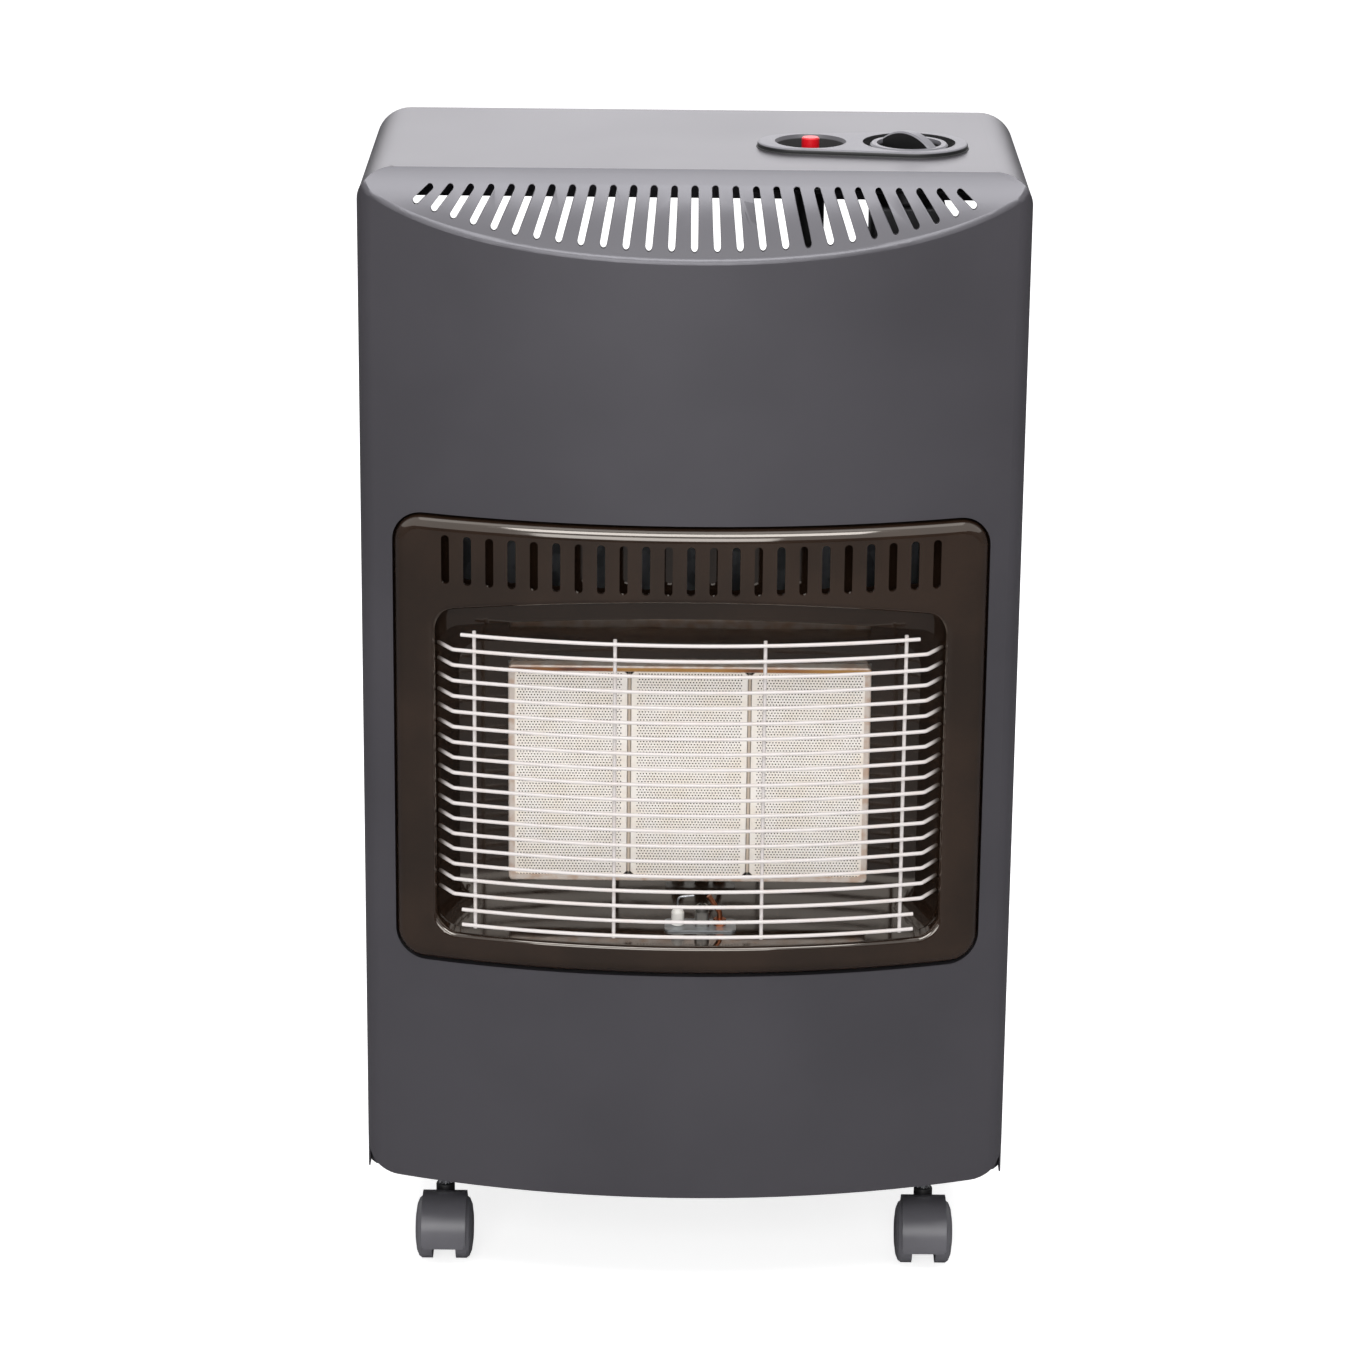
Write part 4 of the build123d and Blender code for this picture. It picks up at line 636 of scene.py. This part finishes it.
def build_guard(settings):
    low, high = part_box("wire_guard")
    radius = settings.wire / 2
    first_z = low.z + settings.wire
    pitch = (high.z - low.z - 2 * settings.wire) / (GUARD_ROWS - 1)
    rows = [first_z + row * pitch for row in range(GUARD_ROWS)]
    plating = guard_plating(settings)
    wires = [
        [(p.x, p.y, z) for p in guard_wire_line(row, settings.bend + radius)]
        for row, z in enumerate(rows)
    ]
    bars = piece("guard_wires", wire_curve("guard_wires", wires, radius), plating, "guard_wire")
    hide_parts("wire_guard")
    post_y = {x: guard_y(x) + settings.wire for x in GUARD_POST_X}
    posts = [[(x, y, low.z), (x, y, high.z)] for x, y in post_y.items()]
    piece("guard_posts", wire_curve("guard_posts", posts, radius), plating, "guard_wire")
    form = bmesh.new()
    for x, y in post_y.items():
        for z in rows:
            place = Matrix.Translation((x, y - radius, z))
            size = Matrix.Diagonal((settings.weld, 1.6 * radius, 0.9 * settings.weld, 1.0))
            bmesh.ops.create_icosphere(form, subdivisions=2, radius=0.5, matrix=place @ size)
    piece("guard_welds", finished_mesh(form, "guard_welds", 60), plating, "guard_wire")


# ---------------------------------------------------------------- plaques
PLAQUE_CORNER = 4.4 * MM
PLAQUE_EDGE = 0.6 * MM
JOINT_DEPTH = 6 * MM
JOINT_RECESS = 0.5 * MM
JOINT_EDGE = 0.5 * MM


def plaque_outline(half_x, half_z, corner):
    """Rectangle with cut corners, anticlockwise from the lower left."""
    return [
        (-half_x + corner, -half_z),
        (half_x - corner, -half_z),
        (half_x, -half_z + corner),
        (half_x, half_z - corner),
        (half_x - corner, half_z),
        (-half_x + corner, half_z),
        (-half_x, half_z - corner),
        (-half_x, -half_z + corner),
    ]


def drill_wells(form, size, settings):
    """Hexagons across the plaque's face, with a small round well in each."""
    columns = int((size.x - 2 * settings.margin) / settings.pitch - 0.5)
    rows = int((size.z - settings.margin) / settings.row_pitch)
    left = -(columns + 0.5) * settings.pitch / 2
    foot = -rows * settings.row_pitch / 2
    radius = settings.hole / 2
    lattice = {}

    def corner(across, up):
        """Shared vertex on the lattice of half pitches."""
        if (across, up) not in lattice:
            place = (left + across * settings.pitch / 2, 0.0, foot + up * settings.row_pitch)
            lattice[across, up] = form.verts.new(place)
        return lattice[across, up]

    turns = [math.radians(a) for a in (210, 270, 330, 30, 90, 150)]
    for up in range(rows):
        for column in range(columns):
            k = 2 * column + up % 2
            x = left + (k + 1) * settings.pitch / 2
            z = foot + (up + 0.5) * settings.row_pitch
            lower = [corner(k + i, up) for i in range(3)]
            outer = lower + [corner(k + i, up + 1) for i in (2, 1, 0)]
            spots = [(x + radius * math.cos(t), z + radius * math.sin(t)) for t in turns]
            mouth = [form.verts.new((px, 0.0, pz)) for px, pz in spots]
            floor = [form.verts.new((px, settings.depth, pz)) for px, pz in spots]
            for i in range(6):
                j = (i + 1) % 6
                form.faces.new((outer[i], outer[j], mouth[j], mouth[i]))
                form.faces.new((mouth[i], mouth[j], floor[j], floor[i]))
            form.faces.new(floor)


def plaque_mesh(name, size, settings):
    """One plaque round its own middle: a slab whose face is full of small wells."""
    form = bmesh.new()
    drill_wells(form, size, settings)
    field_edges = [edge for edge in form.edges if edge.is_boundary]
    loops = []
    for inset, y in ((PLAQUE_EDGE, 0.0), (0.0, PLAQUE_EDGE), (0.0, size.y)):
        outline = plaque_outline(size.x / 2 - inset, size.z / 2 - inset, PLAQUE_CORNER)
        loops.append([form.verts.new((x, y, z)) for x, z in outline])
    for near, far in zip(loops, loops[1:]):
        for i in range(len(near)):
            j = (i + 1) % len(near)
            form.faces.new((near[i], near[j], far[j], far[i]))
    form.faces.new(loops[-1])
    rim_edges = [edge for edge in form.edges if edge.is_boundary and edge.verts[0] in loops[0]]
    bmesh.ops.triangle_fill(form, use_beauty=True, edges=field_edges + rim_edges)
    return finished_mesh(form, name, 30)


def build_plaque_joints():
    """Fireproof cement in the joints between the plaques."""
    cement = moulded_plastic("fireproof_cement", srgb(205, 190, 174), 0.9, 0.05)
    centre_low, centre_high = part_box("ceramic_plaque_centre")
    left_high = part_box("ceramic_plaque_left")[1]
    half_gap = (centre_low.x - left_high.x) / 2
    height = centre_high.z - centre_low.z - 2 * PLAQUE_CORNER
    size = Vector((2 * half_gap, JOINT_DEPTH, height))
    y = centre_low.y + JOINT_RECESS + JOINT_DEPTH / 2
    z = (centre_low.z + centre_high.z) / 2
    form = bmesh.new()
    for side in (-1, 1):
        middle = Vector((side * (centre_high.x + half_gap), y, z))
        place = Matrix.Translation(middle) @ Matrix.Diagonal((*size, 1.0))
        bmesh.ops.create_cube(form, size=1.0, matrix=place)
    uprights = [edge for edge in form.edges if edge.calc_length() > height / 2]
    bmesh.ops.bevel(form, geom=uprights, offset=JOINT_EDGE, segments=3, affect="EDGES")
    piece("plaque_joints", finished_mesh(form, "plaque_joints"), cement, "plaque")


def build_burner(settings):
    rim_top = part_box("burner_rim")[1].z
    low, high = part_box("ceramic_plaque_centre")
    ceramic = fired_ceramic(settings)
    mesh = plaque_mesh("perforated_plaque", high - low, settings)
    mesh.materials.append(ceramic)
    for side in ("left", "centre", "right"):
        node = f"ceramic_plaque_{side}"
        low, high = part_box(node)
        plaque = bpy.data.objects.new(f"perforated_plaque_{side}", mesh)
        bpy.context.scene.collection.objects.link(plaque)
        plaque.location = ((low.x + high.x) / 2, low.y, (low.z + high.z) / 2)
        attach(plaque, "cabinet")
        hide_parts(node)
    build_plaque_joints()
    dress(tinted_steel(rim_top - STRIP_FOOT), "burner_rim")
    steel = rolled_steel("rolled_steel", srgb(140, 138, 134), 0.38)
    dress(steel, "burner_plenum", "mixing_tubes", "gas_manifold", "pilot_burner")


# ---------------------------------------------------------------- castors
AXLE_AHEAD = 12 * MM
AXLE_Z = 20 * MM
HOOD_RADIUS = 23.5 * MM
HOOD_INNER = 20.8 * MM
HOOD_HALF = 14 * MM
HOOD_EDGE = 1.1 * MM
HOOD_FRONT_DROP = math.radians(14)
HOOD_REAR_LIFT = math.radians(4)
WEB_HALF = 7.1 * MM
WEB_DROP = math.radians(18)
WEB_INTO_HOOD = 0.6 * MM
COLLAR_FOOT = 36 * MM
COLLAR_TOP = 46.5 * MM
COLLAR_RADIUS = 6.0 * MM
COLLAR_SHOULDER = 1.8 * MM
STEM_RADIUS = 4 * MM
GRIP_TOP = 60 * MM
GRIP_TEETH = 12
GRIP_TOOTH = 0.9 * MM
GRIP_GROOVE = 0.1 * MM
ARC_STEPS = 40


def arc(radius, start, end):
    """Points (y, z) on an arc; 0 is straight ahead, a quarter turn is up."""
    turns = [start + (end - start) * i / ARC_STEPS for i in range(ARC_STEPS + 1)]
    return [(-radius * math.cos(t), radius * math.sin(t)) for t in turns]


def extrude_outline(form, outline, centre, half):
    """Solid between x -half and +half with an outline in the YZ plane."""
    rings = []
    for side in (-half, half):
        spots = [centre + Vector((side, y, z)) for y, z in outline]
        rings.append([form.verts.new(spot) for spot in spots])
    near, far = rings
    for i in range(len(outline)):
        j = (i + 1) % len(outline)
        form.faces.new((near[i], near[j], far[j], far[i]))
    return [form.faces.new(near), form.faces.new(list(reversed(far)))]


def lathe(form, profile, centre, count=32):
    """Solid of revolution about an upright axis from (radius, z) points."""
    turns = [2 * math.pi * i / count for i in range(count)]
    ways = [(math.cos(t), math.sin(t)) for t in turns]
    rings = []
    for radius, z in profile:
        spots = [(centre.x + radius * x, centre.y + radius * y, z) for x, y in ways]
        rings.append([form.verts.new(spot) for spot in spots])
    for lower, upper in zip(rings, rings[1:]):
        for i in range(count):
            j = (i + 1) % count
            form.faces.new((lower[i], lower[j], upper[j], upper[i]))
    form.faces.new(rings[0])
    form.faces.new(rings[-1])


def hood_mesh(name, axle):
    """Fender over both wheels, with its web between them."""
    form = bmesh.new()
    rear = math.pi - HOOD_REAR_LIFT
    fender = arc(HOOD_RADIUS, -HOOD_FRONT_DROP, rear)
    fender += reversed(arc(HOOD_INNER, -HOOD_FRONT_DROP, rear))
    cheeks = extrude_outline(form, fender, axle, HOOD_HALF)
    rims = [edge for cheek in cheeks for edge in cheek.edges]
    bmesh.ops.bevel(form, geom=rims, offset=HOOD_EDGE, segments=3, affect="EDGES")
    web = arc(HOOD_INNER + WEB_INTO_HOOD, -WEB_DROP, math.pi + WEB_DROP)
    extrude_outline(form, web, axle, WEB_HALF)
    return finished_mesh(form, name)


def collar_mesh(name, stem):
    """Black collar under the stem, with rounded shoulders."""
    profile = [(COLLAR_RADIUS, COLLAR_FOOT), (COLLAR_RADIUS, COLLAR_TOP - COLLAR_SHOULDER)]
    steps = 5
    for i in range(1, steps + 1):
        t = math.pi / 2 * i / steps
        inward = COLLAR_SHOULDER * (1 - math.cos(t))
        drop = COLLAR_SHOULDER * (1 - math.sin(t))
        profile.append((COLLAR_RADIUS - inward, COLLAR_TOP - drop))
    form = bmesh.new()
    lathe(form, profile, stem)
    return finished_mesh(form, name)


def grip_mesh(name, stem):
    """Splined grip ring on the stem, above the collar."""
    form = bmesh.new()
    outline = []
    for i in range(4 * GRIP_TEETH):
        radius = STEM_RADIUS + (GRIP_TOOTH if i % 4 < 2 else GRIP_GROOVE)
        turn = 2 * math.pi * i / (4 * GRIP_TEETH)
        outline.append((stem.x + radius * math.cos(turn), stem.y + radius * math.sin(turn)))
    levels = (COLLAR_TOP - 0.5 * MM, GRIP_TOP)
    rings = [[form.verts.new((x, y, z)) for x, y in outline] for z in levels]
    for i in range(len(outline)):
        j = (i + 1) % len(outline)
        form.faces.new((rings[0][i], rings[0][j], rings[1][j], rings[1][i]))
    for ring in rings:
        form.faces.new(ring)
    return finished_mesh(form, name)


def build_castor(place, grey, black, steel):
    low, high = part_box(f"castor_collar_{place}")
    stem = (low + high) / 2
    axle = Vector((stem.x, stem.y - AXLE_AHEAD, AXLE_Z))
    body = f"castor_{place}"
    for kind, mesh, material, slot in (
        ("hood", hood_mesh(f"hood_{place}", axle), grey, "castor_plastic"),
        ("collar", collar_mesh(f"collar_{place}", stem), black, "black_plastic"),
    ):
        shaped = piece(f"{kind}_{place}", mesh, material, slot, body)
        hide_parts(f"castor_{kind}_{place}")
    piece(f"grip_{place}", grip_mesh(f"grip_{place}", stem), steel, "pin_steel", body)


# ---------------------------------------------------------------- studio
WHITE = (1.0, 1.0, 1.0)
LILAC = (0.97, 0.945, 1.0)
LAMPS = (
    # lamp, place, target, size, colour; its power is the setting of the same name
    ("key", (-0.3, -3.4, 1.5), (0.0, 0.0, 0.3), (2.2, 1.6), WHITE),
    ("top", (0.0, -1.5, 2.5), (0.0, 0.0, 0.5), (2.0, 0.9), WHITE),
    ("back", (0.0, 3.0, 1.75), (0.0, 0.0, 0.72), (3.0, 1.4), LILAC),
    ("sky", (0.0, 0.3, 3.0), (0.0, 0.3, 0.0), (3.0, 2.4), WHITE),
)
FLOOR_REACH = 12.0
FLAG_LIFT = 1 * MM
# where the dark cards stand, and how high they reach
ROOM_X = 3.0
ROOM_FRONT_Y = -4.0
BACK_CARD_Y = 2.4
BACK_CARD_TOP = 1.0
ROOM_CARD_TOP = 1.3
CAMERA_PLACE = (-6 * MM, -2.774, 1.257)
CAMERA_PITCH = math.radians(18.0)
CAMERA_ROLL = math.radians(0.57)


def lamp(name, place, target, size, power, colour):
    """Soft rectangular lamp that the camera doesn't see."""
    data = bpy.data.lights.new(name, "AREA")
    data.color = colour
    data.shape = "RECTANGLE"
    data.size, data.size_y = size
    data.energy = power
    light = bpy.data.objects.new(name, data)
    light.location = place
    ahead = Vector(target) - Vector(place)
    light.rotation_euler = ahead.to_track_quat("-Z", "Y").to_euler()
    light.visible_camera = False
    bpy.context.scene.collection.objects.link(light)


def build_lamps(settings):
    for kind, place, target, size, colour in LAMPS:
        lamp(f"{kind}_lamp", place, target, size, getattr(settings, kind), colour)


def seen_share(tree):
    """1 for a ray from the camera, a mirror or glass, else 0."""
    path = tree.nodes.new("ShaderNodeLightPath")
    share = path.outputs["Is Camera Ray"]
    for kind in ("Is Glossy Ray", "Is Transmission Ray"):
        either = tree.nodes.new("ShaderNodeMath")
        either.operation = "MAXIMUM"
        tree.links.new(share, either.inputs[0])
        tree.links.new(path.outputs[kind], either.inputs[1])
        share = either.outputs[0]
    return share


def build_world(settings):
    """White for what is seen or mirrored, over an even light."""
    world = bpy.data.worlds.new("studio")
    bpy.context.scene.world = world
    world.use_nodes = True
    tree = world.node_tree
    light = tree.nodes["Background"]
    light.inputs["Color"].default_value = (*WHITE, 1.0)
    light.inputs["Strength"].default_value = settings.ambient
    seen = tree.nodes.new("ShaderNodeBackground")
    seen.inputs["Color"].default_value = (*WHITE, 1.0)
    seen.inputs["Strength"].default_value = 1.0
    choice = tree.nodes.new("ShaderNodeMixShader")
    tree.links.new(seen_share(tree), choice.inputs[0])
    tree.links.new(light.outputs[0], choice.inputs[1])
    tree.links.new(seen.outputs[0], choice.inputs[2])
    tree.links.new(choice.outputs[0], tree.nodes["World Output"].inputs["Surface"])


def board(name, low, high, z):
    """Flat rectangle of the studio between two corners, at a height."""
    mesh = bpy.data.meshes.new(name)
    spots = (low, (high[0], low[1]), high, (low[0], high[1]))
    corners = [(x, y, z) for x, y in spots]
    mesh.from_pydata(corners, [], [(0, 1, 2, 3)])
    thing = bpy.data.objects.new(name, mesh)
    bpy.context.scene.collection.objects.link(thing)
    return thing


def build_flags(settings):
    """Dark cards round the heater, seen only in its gloss."""
    card = Finish("flag_card", settings.card, 0.9)
    lying = Matrix.Identity(4)
    upright = Matrix.Rotation(math.pi / 2, 4, "X")
    behind = Matrix.Translation((0, BACK_CARD_Y, 0)) @ upright
    before = Matrix.Translation((0, ROOM_FRONT_Y, 0)) @ upright
    aside = Matrix.Rotation(math.pi / 2, 4, "Z") @ upright
    left = Matrix.Translation((-ROOM_X, 0, 0)) @ aside
    right = Matrix.Translation((ROOM_X, 0, 0)) @ aside
    spans = {
        "floor_flag": ((-ROOM_X, ROOM_FRONT_Y), (ROOM_X, -ROOM_FRONT_Y), lying),
        "back_flag": ((-ROOM_X, 0.0), (ROOM_X, BACK_CARD_TOP), behind),
        "room_flag": ((-ROOM_X, 0.0), (ROOM_X, ROOM_CARD_TOP), before),
        "left_flag": ((ROOM_FRONT_Y, 0.0), (BACK_CARD_Y, ROOM_CARD_TOP), left),
        "right_flag": ((ROOM_FRONT_Y, 0.0), (BACK_CARD_Y, ROOM_CARD_TOP), right),
    }
    for name, (low, high, place) in spans.items():
        flag = board(name, low, high, FLAG_LIFT)
        flag.matrix_world = place
        flag.data.materials.append(card.material)
        flag.visible_camera = False
        flag.visible_diffuse = False
        flag.visible_shadow = False


def build_floor(settings):
    """Pale floor that keeps the shadow but looks white from the camera."""
    far = FLOOR_REACH
    floor = board("studio_floor", (-far, -far), (far, far), 0.0)
    pale = Finish("studio_floor", settings.floor, 0.8)
    tree = pale.tree
    glow = tree.nodes.new("ShaderNodeEmission")
    tree.links.new(seen_share(tree), glow.inputs["Strength"])
    glow.inputs["Color"].default_value = (*[settings.floor_glow] * 3, 1.0)
    both = tree.nodes.new("ShaderNodeAddShader")
    tree.links.new(pale.shader.outputs[0], both.inputs[0])
    tree.links.new(glow.outputs[0], both.inputs[1])
    tree.links.new(both.outputs[0], tree.nodes["Material Output"].inputs["Surface"])
    floor.data.materials.append(pale.material)


def build_camera(settings):
    data = bpy.data.cameras.new("camera")
    data.sensor_width = 36.0
    data.lens = settings.lens
    camera = bpy.data.objects.new("camera", data)
    camera.location = CAMERA_PLACE
    tilt = Matrix.Rotation(math.pi / 2 - CAMERA_PITCH, 3, "X")
    roll = Matrix.Rotation(CAMERA_ROLL, 3, "Z")
    camera.rotation_euler = (tilt @ roll).to_euler()
    bpy.context.scene.collection.objects.link(camera)
    bpy.context.scene.camera = camera


# ---------------------------------------------------------------- operators
class HEATER_OT_cabinet(bpy.types.Operator):
    """Paint the cabinet, front pressing, bottle tray and hoop"""

    bl_idname = "heater.cabinet"
    bl_label = "Cabinet"

    def execute(self, context):
        paint = satin_paint(context.scene.heater_cabinet)
        dress(paint, "cabinet_shell", "front_panel", "base_tray", "bottle_hoop", "hoop_ears")
        rings = slot_rings("front_panel")
        flanges = slot_flanges("shoulder_flanges", rings, *SHOULDER_FLANGE)
        piece("shoulder_flanges", flanges, paint, "body_paint")
        return {"FINISHED"}


class HEATER_OT_surround(bpy.types.Operator):
    """Enamel the burner surround and the throat behind it"""

    bl_idname = "heater.surround"
    bl_label = "Burner surround"

    def execute(self, context):
        enamel = vitreous_enamel(context.scene.heater_cabinet)
        dress(enamel, "burner_surround", "reflector_box")
        rings = slot_rings("burner_surround")
        flanges = slot_flanges("grille_flanges", rings, *GRILLE_FLANGE)
        piece("grille_flanges", flanges, enamel, "enamel")
        return {"FINISHED"}


class HEATER_OT_guard(bpy.types.Operator):
    """Bend and weld the wires of the guard"""

    bl_idname = "heater.guard"
    bl_label = "Wire guard"

    def execute(self, context):
        build_guard(context.scene.heater_guard)
        return {"FINISHED"}


class HEATER_OT_burner(bpy.types.Operator):
    """Make the perforated plaques and finish the burner round them"""

    bl_idname = "heater.burner"
    bl_label = "Burner"

    def execute(self, context):
        build_burner(context.scene.heater_burner)
        return {"FINISHED"}


class HEATER_OT_gas_line(bpy.types.Operator):
    """Finish the pilot set, valve, pipes, leads and brackets"""

    bl_idname = "heater.gas_line"
    bl_label = "Gas line"

    def execute(self, context):
        dress(galvanised_sheet(), "pilot_bracket", "manifold_hangers", "heat_shield")
        # painted shade: the galvanised valve bracket gets near-black steel for the dim inside of
        # the cabinet
        dress(rolled_steel("blackened_steel", srgb(44, 44, 46), 0.5, 0.6), "valve_bracket")
        glaze = moulded_plastic("glazed_insulator", srgb(236, 234, 228), 0.25, 0.005)
        dress(glaze, "electrode_insulator")
        dress(cast_alloy(), "gas_valve")
        brass = rolled_steel("turned_brass", srgb(196, 160, 92), 0.3)
        dress(brass, "injectors", "valve_plunger", "valve_spindle", "hose_nozzle")
        tube = rolled_steel("drawn_tube", srgb(196, 196, 198), 0.32)
        dress(tube, "supply_pipe_left", "supply_pipe_centre", "supply_pipe_right", "pilot_pipe")
        copper = rolled_steel("drawn_copper", srgb(176, 110, 78), 0.34)
        dress(copper, "thermocouple", "thermocouple_lead")
        zinc = rolled_steel("zinc_plate", srgb(190, 192, 196), 0.28)
        dress(zinc, "spark_electrode", "mounting_nuts", "ear_screws")
        dress(moulded_plastic("silicone_sleeve", srgb(24, 24, 25), 0.6), "ignition_lead")
        return {"FINISHED"}


class HEATER_OT_controls(bpy.types.Operator):
    """Finish the bezel, knob, igniter and button"""

    bl_idname = "heater.controls"
    bl_label = "Controls"

    def execute(self, context):
        settings = context.scene.heater_controls
        dress(bezel_finish(settings), "control_bezel")
        dress(knob_finish(settings), "control_knob")
        seat_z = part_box("cabinet_shell")[1].z

        def on_seat(edge):
            return all(abs(end.co.z - seat_z) < 0.01 * MM for end in edge.verts)

        ring = max(sharp_rings("control_bezel", on_seat), key=ring_length)
        gasket = wire_curve("bezel_gasket", [ring], 0.7 * MM, closed=True)
        rubber = moulded_plastic("gasket_rubber", srgb(18, 18, 19), 0.6)
        piece("bezel_gasket", gasket, rubber, "black_plastic")
        dress(moulded_plastic("button_red", tuple(settings.button), 0.3, 0.004), "igniter_button")
        # black moulding, made darker as painted shade for the dim inside of the cabinet
        dress(moulded_plastic("black_moulding", srgb(26, 26, 27), 0.5), "igniter_body")
        return {"FINISHED"}


class HEATER_OT_castors(bpy.types.Operator):
    """Finish the four castors and their sockets"""

    bl_idname = "heater.castors"
    bl_label = "Castors"

    def execute(self, context):
        plastic = tuple(context.scene.heater_castors.plastic)
        grey = moulded_plastic("castor_plastic", plastic, 0.34)
        black = moulded_plastic("socket_plastic", srgb(24, 24, 25), 0.45)
        steel = rolled_steel("castor_steel", srgb(196, 197, 200), 0.26)
        dress(black, "castor_sockets")
        for place in CASTOR_PLACES:
            dress(grey, f"castor_wheels_{place}")
            dress(steel, f"castor_pins_{place}")
            build_castor(place, grey, black, steel)
        return {"FINISHED"}


class HEATER_OT_studio(bpy.types.Operator):
    """Set up the floor, the light and the camera"""

    bl_idname = "heater.studio"
    bl_label = "Studio"

    def execute(self, context):
        settings = context.scene.heater_studio
        context.scene.view_settings.view_transform = "Standard"
        build_world(settings)
        build_floor(settings)
        build_flags(settings)
        build_lamps(settings)
        build_camera(settings)
        return {"FINISHED"}


OPERATORS = (
    HEATER_OT_cabinet,
    HEATER_OT_surround,
    HEATER_OT_guard,
    HEATER_OT_burner,
    HEATER_OT_gas_line,
    HEATER_OT_controls,
    HEATER_OT_castors,
    HEATER_OT_studio,
)


class HEATER_PT_build(bpy.types.Panel):
    """Lists the heater's operators and their settings"""

    bl_label = "Cabinet gas heater"
    bl_idname = "HEATER_PT_build"
    bl_space_type = "VIEW_3D"
    bl_region_type = "UI"
    bl_category = "Heater"

    def draw(self, context):
        for operator in OPERATORS:
            self.layout.operator(operator.bl_idname)
        for name, group in SETTINGS.items():
            box = self.layout.box()
            for setting in group.__annotations__:
                box.prop(getattr(context.scene, name), setting)


def register():
    for group in SETTINGS.values():
        bpy.utils.register_class(group)
    for name, group in SETTINGS.items():
        setattr(bpy.types.Scene, name, PointerProperty(type=group))
    for operator in OPERATORS:
        bpy.utils.register_class(operator)
    bpy.utils.register_class(HEATER_PT_build)


def unregister():
    bpy.utils.unregister_class(HEATER_PT_build)
    for operator in reversed(OPERATORS):
        bpy.utils.unregister_class(operator)
    for name in SETTINGS:
        delattr(bpy.types.Scene, name)
    for group in SETTINGS.values():
        bpy.utils.unregister_class(group)


def main():
    register()
    for operator in OPERATORS:
        family, action = operator.bl_idname.split(".")
        getattr(getattr(bpy.ops, family), action)()


if __name__ == "__main__":
    main()
